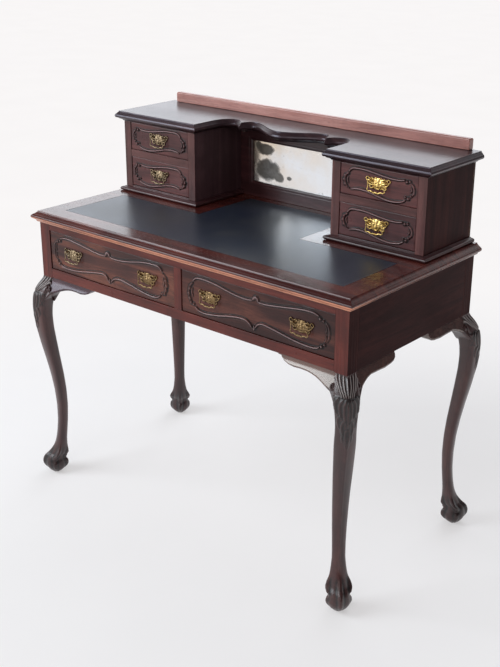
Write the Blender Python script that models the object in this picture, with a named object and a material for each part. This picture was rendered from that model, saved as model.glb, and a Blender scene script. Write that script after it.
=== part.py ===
# Lady's mahogany writing desk: a leather-lined top on four carved cabriole legs, two frieze
# drawers, and an upper stage of two drawer blocks, a mirror and a serpentine shelf.
# Metres, +Z up, +X to the sitter's right, the front faces -Y. The origin is on the floor,
# in the middle of the carcass. Each moving piece hangs from an empty on its joint's axis.

from math import atan2, cos, hypot, pi, sin, sqrt

import bmesh
import bpy
from mathutils import Matrix, Vector

for old in list(bpy.data.objects):
    bpy.data.objects.remove(old, do_unlink=True)

# Clearances shared by all pieces
seat_gap = 0.0003
running_gap = 0.0008
cut_overrun = 0.002

# Carcass
carcass_width = 0.989
carcass_depth = 0.499
carcass_underside = 0.585
carcass_height = 0.147
post_side = 0.035
rail_depth = 0.060
bottom_rail_height = 0.025
top_rail_height = 0.018
centre_stile_width = 0.023
panel_thickness = 0.018

# Writing top
top_thickness = 0.028
top_overhang = 0.017
back_overhang = 0.005
leather_inset_depth = 0.0020
leather_thickness = 0.0016
leather_front_border = 0.046
leather_side_border = 0.051
leather_back_line = 0.249
leather_tongue_width = 0.326
leather_tongue_border = 0.048

# Upper stage
stage_set_in = 0.015
block_width = 0.2594
block_depth = 0.203
block_side_thickness = 0.0235
block_base_height = 0.012
block_base_overhang = 0.0134
block_floor_height = 0.0055
block_height = 0.1795
divider_thickness = 0.019
upper_drawer_height = 0.0745
back_board_thickness = 0.008
shelf_thickness = 0.026
shelf_overhang = 0.0186
shelf_bay_depth = 0.127
gallery_set_in = 0.013
gallery_height = 0.027
gallery_thickness = 0.018
gallery_round = 0.004
mirror_frame_width = 0.040
mirror_frame_thickness = 0.014
mirror_glass_thickness = 0.004
mirror_rabbet = 0.007

# Drawers
front_recess = 0.002
front_thickness = 0.020
frieze_back_space = 0.0287
block_back_space = 0.0137
drawer_board = 0.009
drawer_bottom_board = 0.006
drawer_bottom_rise = 0.005
drawer_side_drop = 0.012
bead_width = 0.0062
bead_height = 0.0034
frieze_cartouche_length = 0.400
frieze_cartouche_height = 0.083
block_cartouche_length = 0.190
block_cartouche_height = 0.0625

# Handles
handle_spacing = 0.268
plate_width = 0.067
plate_height = 0.034
plate_thickness = 0.0022
boss_width = 0.020
boss_height = 0.019
boss_depth = 0.0034
handle_post_radius = 0.0026
handle_post_length = 0.0122
handle_post_spread = 0.037
handle_pivot_rise = 0.010
handle_pivot_reach = 0.0092
bail_width = 0.046
bail_drop = 0.0275
bail_radius = 0.0016
bail_knuckle_radius = 0.0027
bail_corner_radius = 0.007
bail_pin_radius = 0.0012
bail_pin_length = 0.0066
pin_clearance = 0.0004

# Knee brackets
front_bracket_reach = 0.189
side_bracket_reach = 0.180
bracket_thickness = 0.021
bracket_set_back = 0.003
bracket_drop = 0.080

# Legs
ball_radius = 0.0278
foot_height = 0.085
ring_points = 16

# Runner frame inside the carcass
runner_width = 0.036
runner_height = 0.019
kicker_height = 0.016
centre_runner_width = 0.080
cross_member_depth = 0.030
cross_member_height = 0.015

half_width = carcass_width / 2
half_depth = carcass_depth / 2
carcass_top = carcass_underside + carcass_height
writing_level = carcass_top + top_thickness
stage_half = half_width - stage_set_in
block_front = half_depth - block_depth
block_bottom = writing_level + block_base_height
shelf_underside = block_bottom + block_height
shelf_level = shelf_underside + shelf_thickness
back_line = half_depth + back_overhang
bay_half = stage_half - block_width


def material(name, colour, roughness, metallic=0.0):
    made = bpy.data.materials.new(name)
    made.use_nodes = True
    shader = made.node_tree.nodes["Principled BSDF"]
    shader.inputs["Base Color"].default_value = (*colour, 1.0)
    shader.inputs["Roughness"].default_value = roughness
    shader.inputs["Metallic"].default_value = metallic
    return made


def place(name, mesh, colouring, parent=None, location=(0, 0, 0), turn=0.0):
    mesh.materials.clear()
    mesh.materials.append(colouring)
    made = bpy.data.objects.new(name, mesh)
    bpy.context.scene.collection.objects.link(made)
    made.location = location
    made.rotation_euler = (0, 0, turn)
    made.parent = parent
    return made


def mesh_from(bm, name, smooth_angle=None):
    bmesh.ops.recalc_face_normals(bm, faces=bm.faces)
    mesh = bpy.data.meshes.new(name)
    bm.to_mesh(mesh)
    bm.free()
    if smooth_angle:
        mesh.shade_smooth()
        mesh.set_sharp_from_angle(angle=smooth_angle)
    return mesh


def add_box(bm, low, high):
    size = [b - a for a, b in zip(low, high)]
    middle = [(a + b) / 2 for a, b in zip(low, high)]
    matrix = Matrix.Translation(middle) @ Matrix.Diagonal((*size, 1.0))
    bmesh.ops.create_cube(bm, size=1.0, matrix=matrix)


def box_mesh(name, low, high):
    bm = bmesh.new()
    add_box(bm, low, high)
    return mesh_from(bm, name)


def loft(bm, rings, closed=False):
    """Skin a run of rings with the same number of points; a closed run has no caps."""
    loops = [[bm.verts.new(point) for point in ring] for ring in rings]
    pairs = list(zip(loops, loops[1:]))
    if closed:
        pairs.append((loops[-1], loops[0]))
    for first, second in pairs:
        count = len(first)
        for i in range(count):
            j = (i + 1) % count
            bm.faces.new((first[i], first[j], second[j], second[i]))
    if not closed:
        bm.faces.new(loops[0])
        bm.faces.new(loops[-1])


def tool(name, mesh):
    """A shape that only cuts or joins: it is not a piece of the desk."""
    made = bpy.data.objects.new(name, mesh)
    bpy.context.scene.collection.objects.link(made)
    made.hide_render = True
    made.display_type = "WIRE"
    return made


def combine(made, other, operation):
    step = made.modifiers.new(operation.title(), "BOOLEAN")
    step.operation = operation
    step.solver = "EXACT"
    step.object = other


def joint_empty(name, location, parent=None):
    made = bpy.data.objects.new(name, None)
    bpy.context.scene.collection.objects.link(made)
    made.empty_display_type = "ARROWS"
    made.empty_display_size = post_side
    made.location = location
    made.parent = parent
    return made


mahogany = material("mahogany", (0.115, 0.034, 0.022), 0.26)
dark_mahogany = material("dark_mahogany", (0.055, 0.020, 0.016), 0.24)
drawer_lining = material("drawer_lining", (0.30, 0.19, 0.10), 0.55)
leather = material("leather", (0.022, 0.017, 0.017), 0.42)
brass = material("brass", (0.62, 0.42, 0.13), 0.30, 1.0)
glass = material("mirror_glass", (0.78, 0.80, 0.80), 0.05, 1.0)


# Cabriole legs. A ring of the leg lies in its own frame: +X points outward along the
# diagonal from the carcass corner, +Y across it. Each row gives a height as a share of the
# leg's height, then the outer side, inner side and half width as shares of the post's side,
# and how square the ring is, from 1 for a square set corner outward to 2 for an ellipse.
half_diagonal_share = sqrt(2) / 2
leg_ring_shares = [
    (1.000, 0.00, -sqrt(2), half_diagonal_share, 1.00),
    (0.991, 0.10, -1.40, 0.72, 1.00),
    (0.977, 0.34, -1.32, 0.81, 1.03),
    (0.957, 0.62, -1.18, 0.90, 1.06),
    (0.930, 0.87, -0.97, 0.97, 1.12),
    (0.895, 1.02, -0.74, 0.95, 1.17),
    (0.855, 1.06, -0.56, 0.87, 1.20),
    (0.805, 1.00, -0.49, 0.79, 1.23),
    (0.745, 0.82, -0.53, 0.75, 1.27),
    (0.670, 0.57, -0.68, 0.71, 1.30),
    (0.590, 0.25, -0.85, 0.67, 1.32),
    (0.510, -0.03, -1.03, 0.61, 1.36),
    (0.430, -0.24, -1.15, 0.56, 1.42),
    (0.350, -0.34, -1.18, 0.51, 1.50),
    (0.275, -0.33, -1.11, 0.47, 1.58),
    (0.215, -0.23, -1.01, 0.46, 1.65),
    (0.175, -0.10, -0.94, 0.53, 1.70),
]
# The foot grips a ball. Each row gives a height as a share of the foot's, then shares of the
# ball's radius: the ring's centre, the outer, inner and side talons, and the ball between.
foot_ring_shares = [
    (0.960, -0.52, 0.68, 0.66, 0.80, 0.62),
    (0.800, -0.33, 0.84, 0.88, 1.01, 0.70),
    (0.690, -0.16, 0.97, 1.06, 1.11, 0.73),
    (0.600, -0.02, 1.15, 1.00, 1.05, 0.78),
    (0.510, 0.04, 1.28, 1.06, 1.06, 0.85),
    (0.420, 0.06, 1.34, 1.20, 1.11, 0.94),
    (0.310, 0.06, 1.31, 1.24, 1.12, 1.00),
    (0.210, 0.06, 1.15, 1.15, 1.06, 0.94),
    (0.120, 0.06, 0.87, 0.92, 0.89, 0.78),
    (0.045, 0.06, 0.55, 0.57, 0.57, 0.55),
    (0.000, 0.06, 0.32, 0.32, 0.32, 0.32),
]


def square_ring(height, centre, reach, width, squareness, swell):
    ring = []
    for i in range(ring_points):
        angle = 2 * pi * i / ring_points
        along = abs(cos(angle) / (reach + swell)) ** squareness
        across = abs(sin(angle) / (width + swell)) ** squareness
        radius = (along + across) ** (-1 / squareness)
        ring.append((centre + radius * cos(angle), radius * sin(angle), height))
    return ring


def talon_ring(height, centre, outer, inner, side, web):
    ring = []
    for i in range(ring_points):
        angle = 2 * pi * i / ring_points
        talon = side
        if abs(cos(angle)) > abs(sin(angle)):
            talon = outer if cos(angle) > 0 else inner
        radius = web + (talon - web) * abs(cos(2 * angle)) ** 3
        ring.append((centre + radius * cos(angle), radius * sin(angle), height))
    return ring


def leg_mesh(name, swell=0.0, foot=True):
    rings = []
    post_centre = -post_side * half_diagonal_share
    post_reach = post_side * half_diagonal_share
    rings.append(square_ring(carcass_top - seat_gap, post_centre, post_reach, post_reach, 1, swell))
    for height, outer, inner, width, squareness in leg_ring_shares:
        centre = post_side * (outer + inner) / 2
        reach = post_side * (outer - inner) / 2
        rings.append(square_ring(height * carcass_underside, centre, reach,
                                 post_side * width, squareness, swell))
    if foot:
        for height, centre, outer, inner, side, web in foot_ring_shares:
            rings.append(talon_ring(height * foot_height, centre * ball_radius,
                                    outer * ball_radius, inner * ball_radius,
                                    side * ball_radius, web * ball_radius))
    bm = bmesh.new()
    loft(bm, rings)
    # The knee and its clearance shape are split alike, so that they never cross
    bmesh.ops.triangulate(bm, faces=bm.faces, quad_method="FIXED")
    return mesh_from(bm, name, pi / 5)


corners = {
    "front_left": (-1, -1),
    "front_right": (1, -1),
    "back_left": (-1, 1),
    "back_right": (1, 1),
}
cabriole_mesh = leg_mesh("leg")
knee_clearance_mesh = leg_mesh("knee_clearance", seat_gap * 2, foot=False)
knee_tools = {}
for corner, (sx, sy) in corners.items():
    stand = (sx * half_width, sy * half_depth, 0)
    place("leg_" + corner, cabriole_mesh, dark_mahogany, None, stand, atan2(sy, sx))
    knee_tools[corner] = tool("knee_clearance_" + corner, knee_clearance_mesh)
    knee_tools[corner].location = stand
    knee_tools[corner].rotation_euler = (0, 0, atan2(sy, sx))


# Knee brackets: an ogee wing under the rail, from a round nose to a drop against the knee.
# Distances run from the carcass corner as shares of the wing's reach, heights as shares of
# its drop at the knee.
bracket_outline_shares = [
    (0.06, 0.00), (0.995, 0.00), (1.000, 0.06), (0.985, 0.15), (0.955, 0.24), (0.900, 0.31),
    (0.840, 0.345), (0.770, 0.345), (0.690, 0.325), (0.600, 0.300), (0.520, 0.295),
    (0.450, 0.340), (0.375, 0.450), (0.310, 0.555), (0.255, 0.670), (0.210, 0.810),
    (0.175, 0.960), (0.120, 1.000), (0.060, 1.000),
]


def bracket_mesh(name, reach):
    top = carcass_underside - seat_gap
    near = bracket_set_back
    bm = bmesh.new()
    rings = []
    for depth in (near, near + bracket_thickness):
        # The two wings of a corner meet in a mitre behind the knee
        rings.append([(max(along * reach, depth + seat_gap), depth, top - down * bracket_drop)
                      for along, down in bracket_outline_shares])
    loft(bm, rings)
    return mesh_from(bm, name)


def flipped(mesh, sx, sy, swap):
    """A copy of a mesh drawn from the corner inward, laid along X or, swapped, along Y."""
    copy = mesh.copy()
    turn = Matrix(((0, 1, 0, 0), (1, 0, 0, 0), (0, 0, 1, 0), (0, 0, 0, 1))) if swap else Matrix()
    copy.transform(Matrix.Diagonal((-sx, -sy, 1, 1)) @ turn)
    if (-sx) * (-sy) * (-1 if swap else 1) < 0:
        copy.flip_normals()
    return copy


front_wing = bracket_mesh("front_wing", front_bracket_reach)
side_wing = bracket_mesh("side_wing", side_bracket_reach)
for corner, (sx, sy) in corners.items():
    stand = (sx * half_width, sy * half_depth, 0)
    wings = [("side", side_wing, True)]
    if sy < 0:
        wings.append(("front", front_wing, False))
    for face, wing, swap in wings:
        bracket = place("bracket_" + corner + "_" + face, flipped(wing, sx, sy, swap),
                        dark_mahogany, None, stand)
        combine(bracket, knee_tools[corner], "DIFFERENCE")


# Carcass rails and panels, fitted between the leg posts
post_inner = half_width - post_side - seat_gap
drawer_opening_low = carcass_underside + bottom_rail_height
drawer_opening_high = carcass_top - top_rail_height


def front_rail(name, low, high):
    mesh = box_mesh(name, (-post_inner, -half_depth, low),
                    (post_inner, rail_depth - half_depth, high))
    return place(name, mesh, mahogany)


front_rail("rail_bottom_front", carcass_underside, drawer_opening_low)
front_rail("rail_top_front", drawer_opening_high, carcass_top - seat_gap)
place("stile_centre_front", box_mesh(
    "stile_centre_front",
    (-centre_stile_width / 2, -half_depth, drawer_opening_low + seat_gap),
    (centre_stile_width / 2, rail_depth - half_depth, drawer_opening_high - seat_gap)), mahogany)

panel_reach = half_depth - post_side - seat_gap
for side, sx in (("left", -1), ("right", 1)):
    faces = sorted((sx * half_width, sx * (half_width - panel_thickness)))
    place("side_panel_" + side, box_mesh(
        "side_panel_" + side, (faces[0], -panel_reach, carcass_underside),
        (faces[1], panel_reach, carcass_top - seat_gap)), dark_mahogany)
place("back_panel", box_mesh(
    "back_panel", (-post_inner, half_depth - panel_thickness, carcass_underside),
    (post_inner, half_depth, carcass_top - seat_gap)), dark_mahogany)


# Runner frame: the drawers slide on its runners, between its guides and under its kickers
frame_front = rail_depth - half_depth + seat_gap
frame_back = half_depth - panel_thickness - seat_gap
frame_side = half_width - panel_thickness - seat_gap
post_back = half_depth - post_side - seat_gap
runner_top = drawer_opening_low
runner_bottom = runner_top - runner_height
guide_face = half_width - post_side
kicker_bottom = drawer_opening_high
kicker_top = kicker_bottom + kicker_height
centre_half = centre_runner_width / 2
stile_half = centre_stile_width / 2
runner_reach = frame_side - runner_width
cross_front = post_back - cross_member_depth
cross_middle = cross_front + cross_member_depth / 2
cross_bottom = runner_bottom + (runner_height - cross_member_height) / 2


def side_profile(sx):
    """Runner, guide and kicker along one end of the carcass, seen from the front."""
    return [(sx * frame_side, runner_bottom), (sx * runner_reach, runner_bottom),
            (sx * runner_reach, runner_top), (sx * guide_face, runner_top),
            (sx * guide_face, kicker_bottom), (sx * runner_reach, kicker_bottom),
            (sx * runner_reach, kicker_top), (sx * frame_side, kicker_top)]


centre_right = [(centre_half, runner_bottom), (centre_half, runner_top), (stile_half, runner_top),
                (stile_half, kicker_bottom), (centre_half, kicker_bottom), (centre_half, kicker_top)]
centre_profile = centre_right + [(-x, z) for x, z in centre_right[::-1]]
frame = place("drawer_runner_frame", box_mesh(
    "drawer_runner_frame", (-post_inner, cross_front, cross_bottom),
    (post_inner, frame_back, cross_bottom + cross_member_height)), drawer_lining)
for name, profile, back in (("centre_runner", centre_profile, cross_middle),
                            ("left_runner", side_profile(-1), post_back),
                            ("right_runner", side_profile(1), post_back)):
    bm = bmesh.new()
    loft(bm, [[(x, y, z) for x, z in profile] for y in (frame_front, back)])
    combine(frame, tool(name, mesh_from(bm, name)), "UNION")


# Writing top: a moulded edge on the front and the ends, square at the back. Each row gives
# how far the edge stands out, as a share of the overhang, and its height as a share of the
# thickness.
top_edge_shares = [
    (0.35, 0.00), (0.45, 0.16), (0.72, 0.26), (0.78, 0.30), (0.93, 0.35), (1.00, 0.48),
    (0.93, 0.61), (0.78, 0.66), (0.74, 0.70), (0.62, 0.73), (0.40, 0.82), (0.24, 0.91),
    (0.18, 1.00),
]


def edged_slab(bm, half, front, back, base, thickness, overhang, shares):
    rings = []
    for out_share, up_share in shares:
        out = out_share * overhang
        rings.append([(half[0] - out, front - out, base + up_share * thickness),
                      (half[1] + out, front - out, base + up_share * thickness),
                      (half[1] + out, back, base + up_share * thickness),
                      (half[0] - out, back, base + up_share * thickness)])
    loft(bm, rings)


bm = bmesh.new()
edged_slab(bm, (-half_width, half_width), -half_depth, back_line, carcass_top, top_thickness,
           top_overhang, top_edge_shares)
desk_top = place("desk_top", mesh_from(bm, "desk_top"), mahogany)

leather_half = half_width - leather_side_border
leather_front = leather_front_border - half_depth
leather_step = leather_back_line - half_depth
tongue_half = leather_tongue_width / 2
tongue_back = half_depth - leather_tongue_border


def leather_outline(shrink, height):
    half, tongue = leather_half - shrink, tongue_half - shrink
    front, step, back = leather_front + shrink, leather_step - shrink, tongue_back - shrink
    return [(-half, front, height), (half, front, height), (half, step, height),
            (tongue, step, height), (tongue, back, height), (-tongue, back, height),
            (-tongue, step, height), (-half, step, height)]


bm = bmesh.new()
loft(bm, [leather_outline(0, writing_level - leather_inset_depth),
          leather_outline(0, writing_level + cut_overrun)])
combine(desk_top, tool("leather_recess", mesh_from(bm, "leather_recess")), "DIFFERENCE")
leather_base = writing_level - leather_inset_depth + seat_gap
bm = bmesh.new()
loft(bm, [leather_outline(seat_gap, leather_base),
          leather_outline(seat_gap, leather_base + leather_thickness)])
place("leather_inset", mesh_from(bm, "leather_inset"), leather)


# Drawer blocks of the upper stage
block_edge_shares = [
    (0.55, 0.03), (0.86, 0.12), (1.00, 0.42), (0.93, 0.68), (0.68, 0.84), (0.30, 0.90),
    (0.20, 1.00),
]
back_board_front = half_depth - back_board_thickness
mirror_front = back_board_front - seat_gap - mirror_frame_thickness
block_sides_bottom = block_bottom + seat_gap
block_sides_top = shelf_underside - seat_gap
divider_top = block_sides_top - upper_drawer_height
divider_bottom = divider_top - divider_thickness
floor_top = block_bottom + block_floor_height
for side, sx in (("left", -1), ("right", 1)):
    faces = sorted((sx * stage_half, sx * bay_half))
    bm = bmesh.new()
    edged_slab(bm, faces, block_front, half_depth, writing_level, block_base_height,
               block_base_overhang, block_edge_shares)
    base = place("block_base_" + side, mesh_from(bm, "block_base_" + side), mahogany)
    inside = (faces[0] + block_side_thickness + seat_gap,
              faces[1] - block_side_thickness - seat_gap)
    name = "block_floor_" + side
    combine(base, tool(name, box_mesh(
        name, (inside[0], block_front, block_bottom - cut_overrun),
        (inside[1], back_board_front - seat_gap, floor_top))), "UNION")
    # The moulding's return along the bay stops against the mirror frame
    stop = sorted((sx * bay_half, sx * (bay_half - block_base_overhang - cut_overrun)))
    name = "block_base_stop_" + side
    combine(base, tool(name, box_mesh(
        name, (stop[0], mirror_front - seat_gap, writing_level - cut_overrun),
        (stop[1], half_depth + cut_overrun, block_bottom + cut_overrun))), "DIFFERENCE")
    for place_name, sheet in (("outer", sx * (stage_half - block_side_thickness / 2)),
                              ("inner", sx * (bay_half + block_side_thickness / 2))):
        name = "block_side_" + side + "_" + place_name
        place(name, box_mesh(
            name, (sheet - block_side_thickness / 2, block_front, block_sides_bottom),
            (sheet + block_side_thickness / 2, back_board_front - seat_gap, block_sides_top)),
            dark_mahogany)
    name = "block_divider_" + side
    place(name, box_mesh(
        name, (inside[0], block_front, divider_bottom),
        (inside[1], back_board_front - seat_gap, divider_top)), mahogany)
place("stage_back_board", box_mesh(
    "stage_back_board", (-stage_half, back_board_front, block_sides_bottom),
    (stage_half, half_depth, block_sides_top)), dark_mahogany)


# Shelf over the whole stage. Its front follows the blocks and bows between them: the right
# half of the bay runs from the block's front corner to the middle, with distances as shares
# of the bay's half width and of its depth.
cusp_shares = (0.650, 0.75)
bay_outline_shares = [
    (1.000, 0.00), (1.000, 0.30), (1.000, 0.58), (0.980, 0.74), (0.930, 0.88), (0.860, 0.96),
    (0.785, 0.95), (0.715, 0.87), cusp_shares, (0.630, 0.87), (0.595, 0.96), (0.540, 1.00),
    (0.450, 0.965), (0.355, 0.88), (0.255, 0.77), (0.155, 0.675), (0.070, 0.615), (0.000, 0.600),
]
shelf_edge_shares = [
    (0.10, 0.00), (0.22, 0.12), (0.55, 0.22), (0.62, 0.28), (0.90, 0.34), (1.00, 0.50),
    (0.93, 0.66), (0.80, 0.72), (0.66, 0.86), (0.56, 0.90), (0.56, 1.00),
]


def bay_normal(outline, index):
    """Outward normal of the bay's line, level with its neighbours."""
    before = outline[index - 1]
    after = outline[index + 1]
    run, rise = after[0] - before[0], after[1] - before[1]
    length = hypot(run, rise)
    return rise / length, -run / length


arris = shelf_overhang * shelf_edge_shares[-1][0]
right_half = [(along * (bay_half - arris), block_front - arris + back * shelf_bay_depth)
              for along, back in bay_outline_shares]
bay_line = [(-x, y) for x, y in right_half] + right_half[-2::-1]
cusp = bay_outline_shares.index(cusp_shares)


def shelf_ring(share, height):
    out = share * shelf_overhang
    step = out - arris
    front = block_front - out
    ring = [(-stage_half - out, back_line, height), (-stage_half - out, front, height)]
    last = len(bay_line) - 1
    for index, (x, y) in enumerate(bay_line):
        if index in (0, last):
            nx, ny = (1, -1) if index == 0 else (-1, -1)
        elif index in (cusp, last - cusp):
            nx, ny = (0, -1)
        else:
            nx, ny = bay_normal(bay_line, index)
        ring.append((x + nx * step, y + ny * step, height))
    ring += [(stage_half + out, front, height), (stage_half + out, back_line, height)]
    return ring


bm = bmesh.new()
loft(bm, [shelf_ring(share, shelf_underside + up * shelf_thickness)
          for share, up in shelf_edge_shares])
place("shelf", mesh_from(bm, "shelf"), dark_mahogany)

gallery_half = stage_half - gallery_set_in
bm = bmesh.new()
add_box(bm, (-gallery_half, back_line - gallery_thickness, shelf_level + seat_gap),
        (gallery_half, back_line, shelf_level + gallery_height))
upper_edges = [edge for edge in bm.edges
               if min(v.co.z for v in edge.verts) > shelf_level + gallery_height / 2]
bmesh.ops.bevel(bm, geom=upper_edges, offset=gallery_round, segments=3, profile=0.5,
                affect="EDGES")
place("gallery", mesh_from(bm, "gallery"), mahogany)


# Mirror: a framed glass between the blocks, rabbeted from behind
frame_half = bay_half - seat_gap
frame_low = writing_level + seat_gap
frame_high = shelf_underside - seat_gap
frame_back_line = back_board_front - seat_gap
rabbet_line = frame_back_line - mirror_glass_thickness - 2 * seat_gap
glass_inset = mirror_frame_width - mirror_rabbet
# inset from the outer edge as a share of the frame's width, depth as a share from the front
moulding_shares = [(0.00, 0.00), (0.72, 0.00), (0.76, 0.06), (0.84, 0.00), (0.93, 0.05),
                   (1.00, 0.22)]
moulding = [(inset * mirror_frame_width, mirror_front + depth * mirror_frame_thickness)
            for inset, depth in moulding_shares]
moulding += [(mirror_frame_width, rabbet_line), (glass_inset, rabbet_line),
             (glass_inset, frame_back_line), (0, frame_back_line)]
bm = bmesh.new()
loft(bm, [[(-frame_half + inset, y, frame_low + inset), (frame_half - inset, y, frame_low + inset),
           (frame_half - inset, y, frame_high - inset), (-frame_half + inset, y, frame_high - inset)]
          for inset, y in moulding], closed=True)
place("mirror_frame", mesh_from(bm, "mirror_frame"), dark_mahogany)
pane = glass_inset + seat_gap
place("mirror_glass", box_mesh(
    "mirror_glass", (-frame_half + pane, rabbet_line + seat_gap, frame_low + pane),
    (frame_half - pane, rabbet_line + seat_gap + mirror_glass_thickness, frame_high - pane)), glass)


# Cartouche beads on the drawer fronts, as shares of half the length and half the height.
# The frieze one is waisted and the same on both hands; its right half runs from top to
# bottom. The block one leans up towards the mirror and is drawn for the right block.
frieze_half_shares = [
    (0.000, 0.90), (0.030, 0.74), (0.080, 0.67), (0.160, 0.67), (0.300, 0.75), (0.480, 0.88),
    (0.650, 0.98), (0.780, 1.00), (0.880, 0.97), (0.945, 0.84), (0.985, 0.58), (1.000, 0.20),
    (1.000, -0.20), (0.985, -0.56), (0.940, -0.82), (0.870, -0.96), (0.760, -0.98),
    (0.620, -0.90), (0.460, -0.76), (0.300, -0.63), (0.180, -0.56), (0.100, -0.55),
    (0.045, -0.64), (0.000, -0.82),
]
frieze_shares = frieze_half_shares + [(-x, z) for x, z in frieze_half_shares[-2:0:-1]]
block_shares = [
    (-0.900, 0.62), (-0.800, 0.86), (-0.660, 0.99), (-0.500, 1.00), (-0.280, 0.96),
    (-0.050, 0.90), (0.180, 0.80), (0.380, 0.71), (0.560, 0.69), (0.720, 0.76), (0.840, 0.72),
    (0.930, 0.50), (0.990, 0.20), (1.000, -0.10), (0.960, -0.34), (0.860, -0.54), (0.740, -0.74),
    (0.620, -0.90), (0.460, -0.99), (0.280, -0.98), (0.080, -0.88), (-0.140, -0.72),
    (-0.340, -0.56), (-0.520, -0.49), (-0.680, -0.54), (-0.800, -0.66), (-0.910, -0.52),
    (-0.980, -0.24), (-1.000, 0.08), (-0.970, 0.38),
]
# The bead's own outline: across as a share of its width, out as a share of its height
bead_profile_shares = [(-0.50, -0.35), (-0.30, 0.80), (0.00, 1.00), (0.30, 0.80), (0.50, -0.35)]


def bead_mesh(name, shares, length, height, mirror):
    path = [(mirror * x * length / 2, z * height / 2) for x, z in shares]
    count = len(path)
    rings = []
    for across, out in bead_profile_shares:
        ring = []
        for i, (x, z) in enumerate(path):
            ahead, behind = path[(i + 1) % count], path[i - 1]
            run, rise = ahead[0] - behind[0], ahead[1] - behind[1]
            length_here = hypot(run, rise)
            shift = across * bead_width
            ring.append((x - shift * rise / length_here, -out * bead_height,
                         z + shift * run / length_here))
        rings.append(ring)
    bm = bmesh.new()
    loft(bm, rings, closed=True)
    return mesh_from(bm, name, pi / 4)


# Pierced handle plate, its right half from the middle of the top to the middle of the foot,
# as shares of half the width and half the height
plate_half_shares = [
    (0.000, 1.00), (0.070, 0.80), (0.170, 0.94), (0.240, 0.68), (0.370, 0.84), (0.440, 0.56),
    (0.590, 0.58), (0.700, 0.74), (0.790, 0.98), (0.920, 1.00), (1.000, 0.80), (0.970, 0.56),
    (0.850, 0.46), (0.790, 0.20), (0.760, -0.10), (0.660, -0.34), (0.500, -0.46),
    (0.360, -0.60), (0.220, -0.84), (0.000, -1.00),
]
piercing_shares = [(0.34, 0.30), (0.46, 0.38), (0.62, 0.30), (0.64, 0.02), (0.48, -0.22),
                   (0.36, -0.14), (0.42, 0.06)]
ear_hole_centre_share = (0.87, 0.76)
ear_hole_radius = 0.0016
ear_hole_sides = 6
round_sides = 8
bail_sides = 6


def plate_tool_mesh(name, sx):
    bm = bmesh.new()
    half_w, half_h = plate_width / 2, plate_height / 2
    near, far = cut_overrun, -plate_thickness - seat_gap - cut_overrun
    eye = [(ear_hole_centre_share[0] * half_w + ear_hole_radius * cos(2 * pi * i / ear_hole_sides),
            ear_hole_centre_share[1] * half_h + ear_hole_radius * sin(2 * pi * i / ear_hole_sides))
           for i in range(ear_hole_sides)]
    slot = [(x * half_w, z * half_h) for x, z in piercing_shares]
    for outline in (eye, slot):
        loft(bm, [[(sx * x, y, z) for x, z in outline] for y in (near, far)])
    return mesh_from(bm, name)


def cylinder_mesh(name, radius, start, end, sides=round_sides):
    axis = Vector(end) - Vector(start)
    side = Vector((0, 0, 1)) if abs(axis.z) < abs(axis.y) + abs(axis.x) else Vector((1, 0, 0))
    first = axis.cross(side).normalized()
    second = axis.cross(first).normalized()
    bm = bmesh.new()
    loft(bm, [[Vector(at) + radius * (cos(2 * pi * i / sides) * first
                                      + sin(2 * pi * i / sides) * second)
               for i in range(sides)] for at in (start, end)])
    return mesh_from(bm, name, pi / 4)


def boss_mesh(name):
    """Leaf boss on the plate: a low oval dome in three steps."""
    dome_shares = [(1.00, 0.00), (0.86, 0.50), (0.55, 0.86), (0.20, 1.00)]
    bm = bmesh.new()
    rings = []
    for wide, out in dome_shares:
        rings.append([(boss_width / 2 * wide * cos(2 * pi * i / round_sides),
                       -seat_gap - plate_thickness / 2 - out * (boss_depth + plate_thickness / 2),
                       boss_height / 2 * wide * sin(2 * pi * i / round_sides))
                      for i in range(round_sides)])
    loft(bm, rings)
    return mesh_from(bm, name, pi / 4)


def plate_mesh(name):
    outline = plate_half_shares + [(-x, z) for x, z in plate_half_shares[-2:0:-1]]
    bm = bmesh.new()
    loft(bm, [[(x * plate_width / 2, y, z * plate_height / 2) for x, z in outline]
              for y in (-seat_gap, -seat_gap - plate_thickness)])
    return mesh_from(bm, name)


# One plate is cut and joined here, and its finished mesh is shared by all eight
plate_shape = tool("plate_shape", plate_mesh("plate_shape"))
plate_steps = [("plate_boss", boss_mesh("plate_boss"), "UNION")]
hole_reach = handle_post_radius + cut_overrun
for tag, sx in (("left", -1), ("right", 1)):
    post_x = sx * handle_post_spread / 2
    plate_steps.append(("plate_piercing_" + tag, plate_tool_mesh("piercing", sx), "DIFFERENCE"))
    plate_steps.append(("plate_post_" + tag, cylinder_mesh(
        "post", handle_post_radius, (post_x, -seat_gap - plate_thickness / 2, handle_pivot_rise),
        (post_x, -handle_post_length, handle_pivot_rise)), "UNION"))
    plate_steps.append(("plate_pin_hole_" + tag, cylinder_mesh(
        "pin_hole", bail_pin_radius + pin_clearance,
        (post_x - hole_reach, -handle_pivot_reach, handle_pivot_rise),
        (post_x + hole_reach, -handle_pivot_reach, handle_pivot_rise)), "DIFFERENCE"))
plate_tools = [plate_shape]
for name, mesh, operation in plate_steps:
    plate_tools.append(tool(name, mesh))
    combine(plate_shape, plate_tools[-1], operation)
settled = bpy.context.evaluated_depsgraph_get()
handle_plate_mesh = bpy.data.meshes.new_from_object(plate_shape.evaluated_get(settled))
handle_plate_mesh.name = "handle_plate"
for spent in plate_tools:
    bpy.data.objects.remove(spent, do_unlink=True)


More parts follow.
